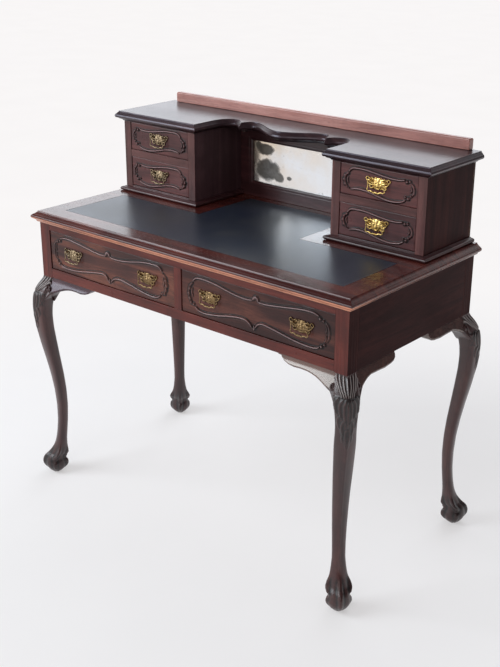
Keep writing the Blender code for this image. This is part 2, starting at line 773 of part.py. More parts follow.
def bail_mesh():
    """Bail handle as drawn at rest, with its pins on the local X axis."""
    arm = bail_width / 2
    outward = Vector((0, 1, 0))
    half_path = [(arm - bail_pin_length, 0, bail_pin_radius),
                 (arm - bail_radius, 0, bail_pin_radius),
                 (arm - bail_radius / 4, -bail_radius / 2, bail_radius),
                 (arm, -bail_radius * 2, bail_radius)]
    bend = bail_corner_radius
    for step_share in (0, 0.33, 0.67, 1):
        angle = step_share * pi / 2
        half_path.append((arm - bend + bend * cos(angle), -bail_drop + bend - bend * sin(angle),
                          bail_radius))
    knuckle = bail_knuckle_radius
    half_path += [(knuckle * 3, -bail_drop, bail_radius), (knuckle * 2, -bail_drop, knuckle),
                  (knuckle * 1.2, -bail_drop, bail_radius * 1.1)]
    path = half_path + [(0, -bail_drop, knuckle)] + [(-x, z, r) for x, z, r in half_path[::-1]]
    rings = []
    for i, (x, z, radius) in enumerate(path):
        ahead, behind = path[min(i + 1, len(path) - 1)], path[max(i - 1, 0)]
        along = Vector((ahead[0] - behind[0], 0, ahead[1] - behind[1])).normalized()
        across = along.cross(outward)
        rings.append([Vector((x, 0, z)) + radius * (cos(2 * pi * k / bail_sides) * across
                                                     + sin(2 * pi * k / bail_sides) * outward)
                      for k in range(bail_sides)])
    bm = bmesh.new()
    loft(bm, rings)
    return mesh_from(bm, "bail", pi / 4)


shared_bail_mesh = bail_mesh()


def add_handle(drawer_name, number, carrier, x, z, front):
    suffix = drawer_name + ("_" + number if number else "")
    place("handle_plate_" + suffix, handle_plate_mesh, brass, carrier, (x, front, z))
    pivot = joint_empty("bail_axis_" + suffix,
                        (x, front - handle_pivot_reach, z + handle_pivot_rise), carrier)
    place("bail_" + suffix, shared_bail_mesh, brass, pivot)


def add_drawer(name, opening, low, high, face, back, shares, size, mirror, handles):
    """A drawer in its opening: x range, z range, the front's face and the box's back."""
    middle_x = (opening[0] + opening[1]) / 2
    middle_z = (low + high) / 2
    half_w = (opening[1] - opening[0]) / 2 - running_gap
    half_h = (high - low) / 2 - running_gap
    carrier = joint_empty("drawer_axis_" + name, (middle_x, face, middle_z))
    front = place("drawer_front_" + name, box_mesh(
        "drawer_front_" + name, (-half_w, 0, -half_h), (half_w, front_thickness, half_h)),
        mahogany, carrier)
    bead = tool("bead_" + name, bead_mesh("bead_" + name, shares, size[0], size[1], mirror))
    bead.parent = carrier
    combine(front, bead, "UNION")

    box_low = (-half_w, front_thickness + seat_gap, -half_h)
    box_high = (half_w, back - face, half_h - drawer_side_drop)
    box = place("drawer_box_" + name, box_mesh("drawer_box_" + name, box_low, box_high),
                drawer_lining, carrier)
    hollow = tool("drawer_hollow_" + name, box_mesh(
        "drawer_hollow_" + name,
        (-half_w + drawer_board, box_low[1] - cut_overrun,
         -half_h + drawer_bottom_rise + drawer_bottom_board),
        (half_w - drawer_board, box_high[1] - drawer_board, box_high[2] + cut_overrun)))
    under = tool("drawer_under_" + name, box_mesh(
        "drawer_under_" + name,
        (-half_w + drawer_board, box_low[1] - cut_overrun, -half_h - cut_overrun),
        (half_w - drawer_board, box_high[1] - drawer_board, -half_h + drawer_bottom_rise)))
    for cutter in (hollow, under):
        cutter.parent = carrier
        combine(box, cutter, "DIFFERENCE")
    for number, x in handles:
        add_handle(name, number, carrier, x, 0, 0)


frieze_face = front_recess - half_depth
frieze_opening = (stile_half, half_width - post_side)
frieze_back = half_depth - panel_thickness - frieze_back_space
frieze_size = (frieze_cartouche_length, frieze_cartouche_height)
for side, sx in (("left", -1), ("right", 1)):
    opening = sorted((sx * frieze_opening[0], sx * frieze_opening[1]))
    add_drawer("frieze_" + side, opening, drawer_opening_low, drawer_opening_high, frieze_face,
               frieze_back, frieze_shares, frieze_size, 1,
               [("left", -handle_spacing / 2), ("right", handle_spacing / 2)])

block_face = block_front + front_recess / 2
block_back = back_board_front - block_back_space
block_size = (block_cartouche_length, block_cartouche_height)
for side, sx in (("left", -1), ("right", 1)):
    opening = sorted((sx * (stage_half - block_side_thickness),
                      sx * (bay_half + block_side_thickness)))
    for level, low, high in (("upper", divider_top, block_sides_top),
                             ("lower", floor_top, divider_bottom)):
        add_drawer("block_" + side + "_" + level, opening, low, high, block_face,
                   block_back, block_shares, block_size, sx, [("", 0)])
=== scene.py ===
# Lady's mahogany writing desk: camera, light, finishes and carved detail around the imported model.
# Blender 4.5, metres. +X is the sitter's right, the drawers open towards -Y, the floor is at zero.

from math import cos, pi, radians, sin, sqrt

import bpy
import numpy as np
from mathutils import Matrix, Vector


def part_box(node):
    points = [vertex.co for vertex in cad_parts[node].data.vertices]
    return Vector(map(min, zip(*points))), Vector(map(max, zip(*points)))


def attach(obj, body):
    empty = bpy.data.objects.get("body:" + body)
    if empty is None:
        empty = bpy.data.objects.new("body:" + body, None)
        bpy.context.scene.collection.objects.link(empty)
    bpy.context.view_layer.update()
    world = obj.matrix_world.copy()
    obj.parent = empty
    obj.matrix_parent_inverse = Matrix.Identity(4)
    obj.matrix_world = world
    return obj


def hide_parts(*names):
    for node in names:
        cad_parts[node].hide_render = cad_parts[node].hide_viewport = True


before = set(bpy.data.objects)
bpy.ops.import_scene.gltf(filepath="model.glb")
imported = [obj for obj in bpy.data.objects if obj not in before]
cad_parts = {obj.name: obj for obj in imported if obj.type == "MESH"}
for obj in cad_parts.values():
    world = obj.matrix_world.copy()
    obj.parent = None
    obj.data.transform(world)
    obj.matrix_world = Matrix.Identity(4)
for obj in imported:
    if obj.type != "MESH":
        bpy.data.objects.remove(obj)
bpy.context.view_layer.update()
print("frame loaded:", len(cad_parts), "nodes")

scene = bpy.context.scene


# Camera, at the photograph's place and angle
view = {
    "place": (1.7220, -1.9879, 1.5397),
    "tilt": 67.9246,         # degrees from straight down
    "roll": -0.1494,
    "turn": 40.7997,
    "lens": 59.67,
    "sensor": 36.0,
    "farthest": 60,
}


def setCamera():
    bpy.ops.object.camera_add(location=view["place"],
                              rotation=(radians(view["tilt"]), radians(view["roll"]), radians(view["turn"])))
    camera = bpy.context.object
    camera.name = "photoCamera"
    camera.data.lens = view["lens"]
    camera.data.sensor_width = view["sensor"]
    camera.data.clip_end = view["farthest"]
    scene.camera = camera


# Shader maths as plain expressions on sockets
class Wire:
    def __init__(self, tree, socket):
        self.tree = tree
        self.socket = socket

    def join(self, operation, *values):
        return Patch(self.tree).node("ShaderNodeMath", 0, {"operation": operation}, dict(enumerate(values)))

    def __add__(self, other):
        return self.join("ADD", self, other)

    def __sub__(self, other):
        return self.join("SUBTRACT", self, other)

    def __rsub__(self, other):
        return self.join("SUBTRACT", other, self)

    def __mul__(self, other):
        return self.join("MULTIPLY", self, other)

    def __truediv__(self, other):
        return self.join("DIVIDE", self, other)

    def __pow__(self, other):
        return self.join("POWER", self, other)

    def __abs__(self):
        return self.join("ABSOLUTE", self)

    __radd__ = __add__
    __rmul__ = __mul__

    def least(self, other):
        return self.join("MINIMUM", self, other)

    def most(self, other):
        return self.join("MAXIMUM", self, other)

    def between(self, low, high):       # 0 at low, 1 at high, smooth in the middle
        return Patch(self.tree).node("ShaderNodeMapRange", "Result", {"interpolation_type": "SMOOTHSTEP"},
                                     {"Value": self, "From Min": low, "From Max": high})


class Patch:
    def __init__(self, tree):
        self.tree = tree

    def feed(self, slot, value):
        if isinstance(value, Wire):
            self.tree.links.new(value.socket, slot)
        elif slot.type == "RGBA" and len(value) == 3:
            slot.default_value = (*value, 1.0)
        else:
            slot.default_value = value

    # Any node: its settings first (a ramp's stops too), then what its sockets take
    def node(self, kind, output, settings=None, inputs=None):
        made = self.tree.nodes.new(kind)
        for key, value in (settings or {}).items():
            if key == "stops":
                for spot, colour in value[1:-1]:
                    made.color_ramp.elements.new(spot)
                for element, (spot, colour) in zip(made.color_ramp.elements, value):
                    element.position = spot
                    element.color = (*colour, 1.0)
            else:
                setattr(made, key, value)
        for key, value in (inputs or {}).items():
            self.feed(made.inputs[key], value)
        return Wire(self.tree, made.outputs[output])

    def coordinates(self):
        return self.node("ShaderNodeTexCoord", "Object")

    def axes(self, at):
        made = self.tree.nodes.new("ShaderNodeSeparateXYZ")
        self.feed(made.inputs[0], at)
        return [Wire(self.tree, made.outputs[k]) for k in range(3)]

    def stretch(self, at, scale, turn=(0, 0, 0)):
        return self.node("ShaderNodeMapping", "Vector", None,
                         {"Vector": at, "Scale": scale, "Rotation": turn})

    def noise(self, at, scale, detail=3.0, rough=0.5, distortion=0.0):
        return self.node("ShaderNodeTexNoise", "Fac", None,
                         {"Vector": at, "Scale": scale, "Detail": detail, "Roughness": rough,
                          "Distortion": distortion})

    def blend(self, share, first, second):      # sockets 6, 7 and 2 are the colour ones
        return self.node("ShaderNodeMix", 2, {"data_type": "RGBA"}, {"Factor": share, 6: first, 7: second})

    def bump(self, height, strength, distance):
        return self.node("ShaderNodeBump", "Normal", None,
                         {"Height": height, "Strength": strength, "Distance": distance})


class Finish(Patch):
    def __init__(self, name):
        self.material = bpy.data.materials.new(name)
        self.material.use_nodes = True
        super().__init__(self.material.node_tree)
        self.shader = self.tree.nodes["Principled BSDF"]

    def finish(self, **values):
        for key, value in values.items():
            self.feed(self.shader.inputs[key.replace("_", " ")], value)
        return self.material


# French-polished mahogany. Colours are linear; gloss is the roughness where the polish is whole.
woodLook = {
    "friezeLeft": {"dark": (0.023, 0.0076, 0.0068), "middle": (0.072, 0.0205, 0.0155),
                   "light": (0.215, 0.0680, 0.0390), "gloss": 0.22, "shine": 0.30, "coat": 0.06},
    "friezeRight": {"dark": (0.016, 0.0054, 0.0050), "middle": (0.044, 0.0132, 0.0112),
                    "light": (0.125, 0.0380, 0.0250), "gloss": 0.22, "shine": 0.26, "coat": 0.05},
    "blockDrawer": {"dark": (0.034, 0.0110, 0.0112), "middle": (0.094, 0.0290, 0.0290),
                    "light": (0.175, 0.0560, 0.0500), "gloss": 0.22, "shine": 0.32, "coat": 0.08},
    "blockUpright": {"dark": (0.042, 0.0150, 0.0140), "middle": (0.112, 0.0400, 0.0370),
                     "light": (0.185, 0.0740, 0.0660), "gloss": 0.23, "shine": 0.32, "coat": 0.08},
    "rail": {"dark": (0.040, 0.0075, 0.0058), "middle": (0.116, 0.0185, 0.0130),
             "light": (0.180, 0.0400, 0.0250), "gloss": 0.23, "shine": 0.30, "coat": 0.06},
    "top": {"dark": (0.032, 0.0060, 0.0054), "middle": (0.082, 0.0150, 0.0118),
            "light": (0.170, 0.0380, 0.0240), "gloss": 0.21, "uneven": 0.45, "shine": 0.45, "coat": 0.13},
    "frame": {"dark": (0.025, 0.0088, 0.0100), "middle": (0.056, 0.0180, 0.0195),
              "light": (0.100, 0.0350, 0.0370), "gloss": 0.24, "shine": 0.50, "coat": 0.10},
    # a darker copy of the mahogany for faces that look sideways, away from the lamps: painted shade
    "side": {"dark": (0.017, 0.0036, 0.0038), "middle": (0.031, 0.0072, 0.0072),
             "light": (0.056, 0.0140, 0.0120), "gloss": 0.40, "shine": 0.05, "coat": 0.0},
    "innerSide": {"dark": (0.042, 0.0170, 0.0190), "middle": (0.080, 0.0370, 0.0420),
                  "light": (0.120, 0.0560, 0.0600), "gloss": 0.40, "shine": 0.30, "coat": 0.0},
    "leg": {"dark": (0.019, 0.0062, 0.0062), "middle": (0.058, 0.0182, 0.0176),
            "light": (0.090, 0.0300, 0.0250), "gloss": 0.25, "shine": 0.52, "coat": 0.20,
            # the leg's crests are painted this pale: rubbing and a painted highlight
            "crest": (0.600, 0.540, 0.515)},
    "bracket": {"dark": (0.034, 0.0120, 0.0110), "middle": (0.060, 0.0200, 0.0170),
                "light": (0.110, 0.0420, 0.0320), "gloss": 0.20, "uneven": 0.2, "shine": 1.0, "coat": 0.60,
                "tint": (1.0, 0.93, 0.84), "bumps": 0.25},
    "shadedBracket": {"dark": (0.026, 0.0100, 0.0120), "middle": (0.046, 0.0180, 0.0220),
                      "light": (0.080, 0.0330, 0.0360), "gloss": 0.24, "uneven": 0.2, "shine": 0.55,
                      "coat": 0.16, "tint": (0.90, 0.86, 1.0), "bumps": 0.25},
    "shelf": {"dark": (0.018, 0.0085, 0.0095), "middle": (0.040, 0.0185, 0.0195),
              "light": (0.074, 0.0340, 0.0340), "gloss": 0.27, "uneven": 0.6, "shine": 0.50, "coat": 0.13,
              "tint": (0.83, 0.81, 1.0)},
    # far paler than the rest of the mahogany: painted light where the gallery's top catches the lamps
    "gallery": {"dark": (0.155, 0.0520, 0.0420), "middle": (0.440, 0.1850, 0.1550),
                "light": (0.560, 0.2800, 0.2350), "gloss": 0.26, "shine": 0.45, "coat": 0.2},
    # paler mahogany for the eased arrises: rubbing and a painted highlight
    "rubbed": {"dark": (0.080, 0.0230, 0.0160), "middle": (0.180, 0.0580, 0.0380),
               "light": (0.300, 0.1200, 0.0760), "gloss": 0.30, "shine": 0.35, "coat": 0.1},
    "back": {"dark": (0.030, 0.0120, 0.0075), "middle": (0.075, 0.0300, 0.0175),
             "light": (0.130, 0.0580, 0.0340), "gloss": 0.55, "shine": 0.25, "coat": 0.0},
    "lining": {"dark": (0.110, 0.0560, 0.0270), "middle": (0.230, 0.1300, 0.0640),
               "light": (0.330, 0.2000, 0.1050), "gloss": 0.55, "shine": 0.25, "coat": 0.0},
}
woodGrain = {
    # sizes of the pattern, as noise scales to the metre
    "sway": 5.0,             # slow drift of the figure
    "bands": 30.0,
    "fibres": 420.0,
    "pores": 1150.0,
    "patina": 7.5,
    "ripple": 14.0,
    "grimePatches": 150.0,
    "along": {"x": (0.06, 1, 1), "y": (1, 0.06, 1), "z": (1, 1, 0.06)},    # drawn out along the grain
    # how much of the darker tone each brings
    "fibreShare": 0.34,
    "poreShare": 0.45,
    "patinaShare": 0.55,
    "coatRough": 0.12,
    "bump": 0.12,
    "relief": 0.0006,
}
# darkening in the hollows of carving: dirt and old polish, and painted shade
dirtAndShadeTone = {"colour": (0.0060, 0.0042, 0.0044), "least": 0.62, "more": 0.9, "most": 0.92}
# paler crests of carving: rubbing and a painted highlight
crestRubAndHighlight = {"colour": (0.330, 0.225, 0.225), "share": 0.62}
rubbedAndLitBead = {                 # the top's lower bead, painted pale: rubbing and a painted highlight from the front light, less of it along the sides, where no light falls
    "colour": (0.680, 0.2700, 0.1550),
    "height": 0.0127,
    "edge": 0.0006,
    "fromFront": (0.0, 0.13),
    "dimmed": 0.88,
}


def wood(name, look, grain, carved=False):
    look, own = woodLook[look], woodGrain
    made = Finish(name)
    at = made.coordinates()
    along = made.stretch(at, own["along"][grain])
    sway = made.noise(at, own["sway"], 2.0)
    bands = made.noise(along, own["bands"], 4.0, 0.55, 1.2)
    figure = (bands * 0.72 + sway * 0.38).between(0.30, 0.80)
    fibres = made.noise(along, own["fibres"], 2.0, 0.6)
    pores = made.noise(along, own["pores"], 1.0, 0.5).between(0.60, 0.72)
    patina = made.noise(at, own["patina"], 4.0, 0.6)
    colour = made.node("ShaderNodeValToRGB", "Color",
                       {"stops": [(0.0, look["dark"]), (0.5, look["middle"]), (1.0, look["light"])]},
                       {"Fac": figure})
    colour = made.blend(fibres.between(0.34, 0.74) * own["fibreShare"], colour, look["dark"])
    colour = made.blend(pores * own["poreShare"], colour, tuple(c * 0.5 for c in look["dark"]))
    colour = made.blend(patina.between(0.45, 0.72) * own["patinaShare"], colour, look["dark"])
    rough = look["gloss"] + (patina * 0.14 + pores * 0.10) * look.get("uneven", 1.0)
    if carved:
        # hollows darken: dirt and painted shade; crests lighten: rubbing and a painted highlight
        wear = made.node("ShaderNodeAttribute", "Fac", {"attribute_name": "wear"})
        hollow, crest = wear.most(0.0), (wear * -1.0).most(0.0)
        patches = made.noise(at, own["grimePatches"], 3.0, 0.6).between(0.36, 0.62)
        dirtAndShade = (hollow * (dirtAndShadeTone["least"] + patches * dirtAndShadeTone["more"])).least(dirtAndShadeTone["most"])
        colour = made.blend(dirtAndShade, colour, dirtAndShadeTone["colour"])
        colour = made.blend(crest * crestRubAndHighlight["share"], colour, look.get("crest", crestRubAndHighlight["colour"]))
        rough = rough + hollow * 0.16 - crest * 0.05
    if name == "topWood":
        # the top's lower bead is painted pale: rubbing and a painted highlight, weaker along the sides and
        # towards the left end
        x, y, z = made.axes(at)
        front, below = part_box("desk_top")[0][1:]
        under = 1 - (z - below - rubbedAndLitBead["height"]).between(-rubbedAndLitBead["edge"], rubbedAndLitBead["edge"])
        aside = (y - front).between(*rubbedAndLitBead["fromFront"]) * rubbedAndLitBead["dimmed"]
        uneven = (0.50 + patina.between(0.34, 0.58) * 0.45) * (0.7 + x.between(-0.5, 0) * 0.3)
        colour = made.blend(under * uneven * (1 - aside), colour, rubbedAndLitBead["colour"])
    height = fibres * 0.35 - pores * 0.7 + made.noise(at, own["ripple"], 2.0) * 1.6
    return made.finish(Base_Color=colour, Roughness=rough, Coat_Weight=look["coat"],
                       Coat_Roughness=own["coatRough"], Specular_IOR_Level=look["shine"],
                       Specular_Tint=look.get("tint", (1.0, 1.0, 1.0)),
                       Normal=made.bump(height, own["bump"] * look.get("bumps", 1.0), own["relief"]))


leatherLook = {
    "hide": (0.0145, 0.0195, 0.0350),
    "faded": (0.0330, 0.0340, 0.0400),
    "scuff": (0.060, 0.060, 0.066),
    "grain": 900.0,          # pebbles to the metre
    "soft": 210.0,           # more sizes as noise scales, then where in the noise the tone starts
    "rubbed": 4.2,
    "scuffs": 38.0,
    "fadedFrom": (0.40, 0.72),
    "scuffedFrom": (0.62, 0.76),
    "scuffShare": 0.25,
    "gloss": 0.23,
    "shine": 0.98,
    "tint": (0.75, 0.87, 1.0),
    "line": (0.20, 0.105, 0.06),
    "lineShare": 0.22,
    "rim": 0.0045,           # the tooled line's distance from the edge
    "lineWidth": (0.0004, 0.0011),
    "scuffsAlong": (1, 6, 1),
    "scuffsTurned": (0, 0, 0.5),
    "bump": 0.16,
    "relief": 0.0004,
}


def hideLeather():
    look = leatherLook
    low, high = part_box("leather_inset")
    made = Finish("hideLeather")
    at = made.coordinates()
    pebble = made.node("ShaderNodeTexVoronoi", "Distance", None,
                       {"Vector": at, "Scale": look["grain"], "Randomness": 1.0})
    soft = made.noise(at, look["soft"], 3.0, 0.6)
    rubbed = made.noise(at, look["rubbed"], 5.0, 0.62)
    drawn = made.stretch(at, look["scuffsAlong"], look["scuffsTurned"])
    scuffs = made.noise(drawn, look["scuffs"], 3.0, 0.7).between(*look["scuffedFrom"])
    colour = made.blend(rubbed.between(*look["fadedFrom"]), look["hide"], look["faded"])
    colour = made.blend(scuffs * look["scuffShare"], colour, look["scuff"])
    x, y, z = made.axes(at)
    rim = (high[0] - abs(x)).least(y - low[1])                # from the hide's front and end edges
    tooled = (1 - abs(rim - look["rim"]).between(*look["lineWidth"])) * soft.between(0.38, 0.56)
    colour = made.blend(tooled * look["lineShare"], colour, look["line"])
    rough = look["gloss"] + rubbed * 0.14 + pebble * 0.08 - scuffs * 0.05
    height = pebble * 0.8 + soft * 0.6 - tooled * 0.8
    return made.finish(Base_Color=colour, Roughness=rough, Specular_IOR_Level=look["shine"],
                       Specular_Tint=look["tint"], Normal=made.bump(height, look["bump"], look["relief"]))


brassLook = {
    "bright": {"polished": (0.80, 0.56, 0.20), "tarnished": (0.20, 0.125, 0.040), "rough": 0.20},
    "dull": {"polished": (0.30, 0.200, 0.098), "tarnished": (0.075, 0.050, 0.029), "rough": 0.30},
    "greyed": {"polished": (0.31, 0.230, 0.142), "tarnished": (0.082, 0.060, 0.042), "rough": 0.32},
}
brassGrain = {"tarnish": 190.0, "from": (0.42, 0.70), "share": 0.75, "fine": 900.0, "bump": 0.16,
              "relief": 0.0004}


def castBrass(name, look):
    made = Finish(name)
    at = made.coordinates()
    tarnish = made.noise(at, brassGrain["tarnish"], 4.0, 0.65).between(*brassGrain["from"])
    fine = made.noise(at, brassGrain["fine"], 3.0, 0.6)
    colour = made.blend(tarnish * brassGrain["share"], look["polished"], look["tarnished"])
    rough = look["rough"] + tarnish * 0.24 + fine * 0.08
    return made.finish(Base_Color=colour, Metallic=1.0, Roughness=rough,
                       Normal=made.bump(fine + tarnish * 0.5, brassGrain["bump"], brassGrain["relief"]))


mirrorLook = {
    "silver": (0.90, 0.93, 0.98),
    "veil": (0.83, 0.67, 0.49),
    "stain": (0.036, 0.029, 0.023),
    "lean": 0.15,            # the plate leans back in its frame by this slope
    "askew": 0.20,           # its left part turns right by this, up to "flatFrom"
    "flatFrom": (-0.090, -0.040),
    # places where the silver is gone, in metres: across, up, half width, half height
    "stains": [(-0.142, 0.8895, 0.030, 0.017), (-0.164, 0.897, 0.012, 0.012),
               (-0.132, 0.836, 0.042, 0.030), (-0.097, 0.822, 0.018, 0.014),
               (-0.060, 0.824, 0.009, 0.006)],
    "stainEdge": (0.75, 1.10),
    # noise scales, and where in the noise each starts
    "blooms": 24.0,
    "specks": 130.0,
    "specksFrom": (0.67, 0.75),
    "clouds": 9.0,
    "cloudsFrom": (0.22, 0.62),
    "lostFrom": (0.68, 0.80),
    "lostShare": 0.92,
    "rim": (0.006, 0.020),   # the silver fails from the edge inwards, this far
}


def agedMirror():
    look = mirrorLook
    low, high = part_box("mirror_glass")
    middle = (low[2] + high[2]) / 2
    made = Finish("agedMirror")
    at = made.coordinates()
    x, y, z = made.axes(at)
    blooms = made.noise(at, look["blooms"], 6.0, 0.70, 0.5)
    specks = made.noise(at, look["specks"], 3.0, 0.7).between(*look["specksFrom"])
    across, upward = (x - low[0]) / (high[0] - low[0]), (z - low[2]) / (high[2] - low[2])
    away = None              # from the nearest stain's middle: 1 at its outline
    for right, up, wide, tall in look["stains"]:
        over, above = (x - right) / wide, (z - up) / tall
        reach = (over * over + above * above) ** 0.5
        away = away.least(reach) if away else reach
    stained = 1 - (away + (blooms - 0.5) * 1.7).between(*look["stainEdge"])
    stained = stained * (0.62 + specks * 0.2 + blooms * 0.6)
    rim = (high[0] - abs(x)).least((high[2] - low[2]) / 2 - abs(z - middle))
    edge = 1 - rim.between(*look["rim"])
    lost = (blooms + edge * 0.10).between(*look["lostFrom"]).most(specks * 0.5).most(stained).least(1.0)
    clouds = made.noise(at, look["clouds"], 4.0, 0.6).between(*look["cloudsFrom"])
    veil = clouds * (1 - across * 0.85) * (0.5 + upward * 0.5)
    colour = made.blend(veil, look["silver"], look["veil"])
    colour = made.blend(lost * look["lostShare"], colour, look["stain"])
    facing = made.node("ShaderNodeNewGeometry", "Normal")
    askew = (1 - x.between(*look["flatFrom"])) * look["askew"]
    lean = made.node("ShaderNodeCombineXYZ", "Vector", None, {"X": askew, "Z": look["lean"]})
    leaning = made.node("ShaderNodeVectorMath", "Vector", {"operation": "ADD"}, {0: facing, 1: lean})
    leaning = made.node("ShaderNodeVectorMath", "Vector", {"operation": "NORMALIZE"}, {0: leaning})
    return made.finish(Base_Color=colour, Metallic=0.84 - lost * 0.70,
                       Roughness=0.05 + veil * 0.10 + lost * 0.35, Normal=leaning)


# The floor and the room show pale to the camera and in polished things; the lamps light the desk
studio = {
    "ambient": 0.46,
    "ambientColour": (0.93, 0.96, 1.0),
    "paleRoom": (0.865, 0.860, 0.872),
    "darkRoom": (0.070, 0.068, 0.072),        # what polish shows of the room behind the camera
    "brightSide": (-0.55, 0.78, -0.30),       # the pale part of it: its way, its edge and where it ends
    "brightEdge": (0.05, 0.50),
    "brightEnds": (0.20, 0.50),
    "horizon": 0.06,                          # a pale band, with its half height and where it ends
    "horizonEdge": (0.10, 0.34),
    "horizonEnds": (-0.35, 0.25),
    "paleFloor": (0.874, 0.855, 0.855),
    "floorOwnShare": 0.55,                    # how much of the floor near the desk is lit, with shadows
    "floorLitTo": (0.7, 2.2),
    "floorGlow": 1.06,
    "lamps": [
        # name, place, aim, size, watts, colour; polish mirrors all but the sky
        ("windowLeft", (-2.15, -2.40, 2.38), (0, 0, 1.2), (2.2, 2.4), 102, (0.88, 0.95, 1.0)),
        ("softFront", (1.3, -3.4, 2.6), (0, 0, 0.6), (2.0, 2.0), 22, (1.0, 0.96, 0.92)),
        ("skyRear", (-0.6, 2.8, 3.0), (0, 0, 0.8), (2.2, 2.2), 36, (0.88, 0.94, 1.0)),
        ("paleRear", (-2.3, 2.8, 1.75), (0, 0, 0.9), (3.4, 0.9), 17, (0.88, 0.93, 1.0)),
    ],
    "floorSide": 30.0,
}


def seenByLens(patch):
    path = patch.tree.nodes.new("ShaderNodeLightPath")
    return Wire(patch.tree, path.outputs["Is Camera Ray"]), Wire(patch.tree, path.outputs["Is Glossy Ray"])


def floorFinish():
    made = Finish("paleFloor")
    at = made.coordinates()
    mottle = made.noise(at, 3.0, 3.0)
    lighter = tuple(min(1.0, c * 1.04) for c in studio["paleFloor"])
    colour = made.blend(mottle, studio["paleFloor"], lighter)
    made.finish(Base_Color=colour, Roughness=0.65 + mottle * 0.1, Specular_IOR_Level=0.1,
                Normal=made.bump(made.noise(at, 160.0, 2.0), 0.02, 0.001))
    lens, polish = seenByLens(made)
    pale = made.node("ShaderNodeEmission", "Emission", None,
                     {"Color": colour, "Strength": studio["floorGlow"]})
    x, y, z = made.axes(at)
    near = 1 - ((x * x + y * y) ** 0.5).between(*studio["floorLitTo"])
    share = lens.most(polish) * (1 - near * studio["floorOwnShare"])
    mixed = made.node("ShaderNodeMixShader", "Shader", None,
                      {0: share, 1: Wire(made.tree, made.shader.outputs[0]), 2: pale})
    made.feed(made.tree.nodes["Material Output"].inputs["Surface"], mixed)
    return made.material


def setWorld():
    world = bpy.data.worlds.new("studioWorld")
    scene.world = world
    world.use_nodes = True
    made = Patch(world.node_tree)
    x, y, z = made.axes(made.node("ShaderNodeTexCoord", "Generated"))
    toward = studio["brightSide"]
    bright = (x * toward[0] + y * toward[1] + z * toward[2]) * (1 - x.between(*studio["brightEnds"]))
    horizon = 1 - abs(z - studio["horizon"]).between(*studio["horizonEdge"])
    horizon = horizon * (1 - x.between(*studio["horizonEnds"]))
    share = bright.between(*studio["brightEdge"]).most(horizon)
    shown = made.blend(share, studio["darkRoom"], studio["paleRoom"])
    lens, polish = seenByLens(made)
    seen = made.blend(lens, shown, studio["paleRoom"])
    lit = made.tree.nodes["Background"]
    made.feed(lit.inputs["Color"], studio["ambientColour"])
    made.feed(lit.inputs["Strength"], studio["ambient"])
    pale = made.node("ShaderNodeBackground", "Background", None, {"Color": seen, "Strength": 1.0})
    mixed = made.node("ShaderNodeMixShader", "Shader", None,
                      {0: lens.most(polish), 1: Wire(made.tree, lit.outputs[0]), 2: pale})
    made.feed(made.tree.nodes["World Output"].inputs["Surface"], mixed)


def setRoom():
    setWorld()
    for name, place, aim, size, watts, colour in studio["lamps"]:
        bpy.ops.object.light_add(type="AREA", location=place)
        lamp = bpy.context.object
        lamp.name = name
        lamp.rotation_euler = (Vector(aim) - Vector(place)).to_track_quat("-Z", "Y").to_euler()
        lamp.data.shape = "RECTANGLE"
        lamp.data.size, lamp.data.size_y = size
        lamp.visible_glossy = name != "skyRear"
        lamp.data.energy = watts
        lamp.data.color = colour
    bpy.ops.mesh.primitive_plane_add(size=studio["floorSide"], location=(0, 0, 0))
    floor = bpy.context.object
    floor.name = "paleFloorSheet"
    floor.data.materials.append(floorFinish())
    scene.view_settings.view_transform = "Standard"


setCamera()
setRoom()
print("camera, lamps and floor set")


# Wood finishes: the look, the way of its grain, and True where the piece is carved
woods = {
    "topWood": ("top", "x"),
    "railWood": ("rail", "x"),
    "friezeLeftWood": ("friezeLeft", "x", True),
    "friezeRightWood": ("friezeRight", "x", True),
    "blockFrontWood": ("blockDrawer", "x", True),
    "uprightWood": ("rail", "z"),
    "blockUprightWood": ("blockUpright", "z"),
    "blockRailWood": ("blockUpright", "x"),
    "sideWood": ("side", "y"),
    "blockSideWood": ("side", "z"),
    "innerSideWood": ("innerSide", "z"),
    "shelfWood": ("shelf", "x"),
    "frameWood": ("frame", "x"),
    "legWood": ("leg", "z", True),
    "bracketWood": ("bracket", "x"),
    "shadedBracketWood": ("shadedBracket", "x"),
    "galleryWood": ("gallery", "x"),
    "rubbedArris": ("rubbed", "x"),
    "backWood": ("back", "x"),
    "liningWood": ("lining", "x"),
    "runnerWood": ("lining", "y"),
}
finishes = {name: wood(name, *row) for name, row in woods.items()}
finishes["hide"] = hideLeather()
for tone, look in brassLook.items():
    finishes[tone + "Brass"] = castBrass(tone + "Brass", look)
finishes["mirror"] = agedMirror()
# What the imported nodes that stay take, by the start of their names
nodeFinishes = [
    ("back_panel", "backWood"), ("stage_back", "backWood"), ("drawer_box", "liningWood"),
    ("drawer_runner", "runnerWood"), ("mirror_glass", "mirror"), ("leather", "hide"),
    ("", "railWood"),
]


def firstFor(name, table):
    return next(value for start, value in table if name.startswith(start))


def nodesFrom(start):
    return sorted(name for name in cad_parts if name.startswith(start))


for name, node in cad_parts.items():
    node.data.materials.clear()
    node.data.materials.append(finishes[firstFor(name, nodeFinishes)])
print("nodes finished")


# Modelling helpers
def selectOnly(piece):
    bpy.ops.object.select_all(action="DESELECT")
    piece.select_set(True)
    bpy.context.view_layer.objects.active = piece


def inEditMode(piece, *steps):
    selectOnly(piece)
    bpy.ops.object.mode_set(mode="EDIT")
    bpy.ops.mesh.select_all(action="SELECT")
    for step in steps:
        step()
    bpy.ops.object.mode_set(mode="OBJECT")


def mergeDoubles():
    bpy.ops.mesh.remove_doubles(threshold=0.00001)


def closeHoles():
    bpy.ops.mesh.fill_holes(sides=0)


def faceOutward():
    bpy.ops.mesh.normals_make_consistent(inside=False)


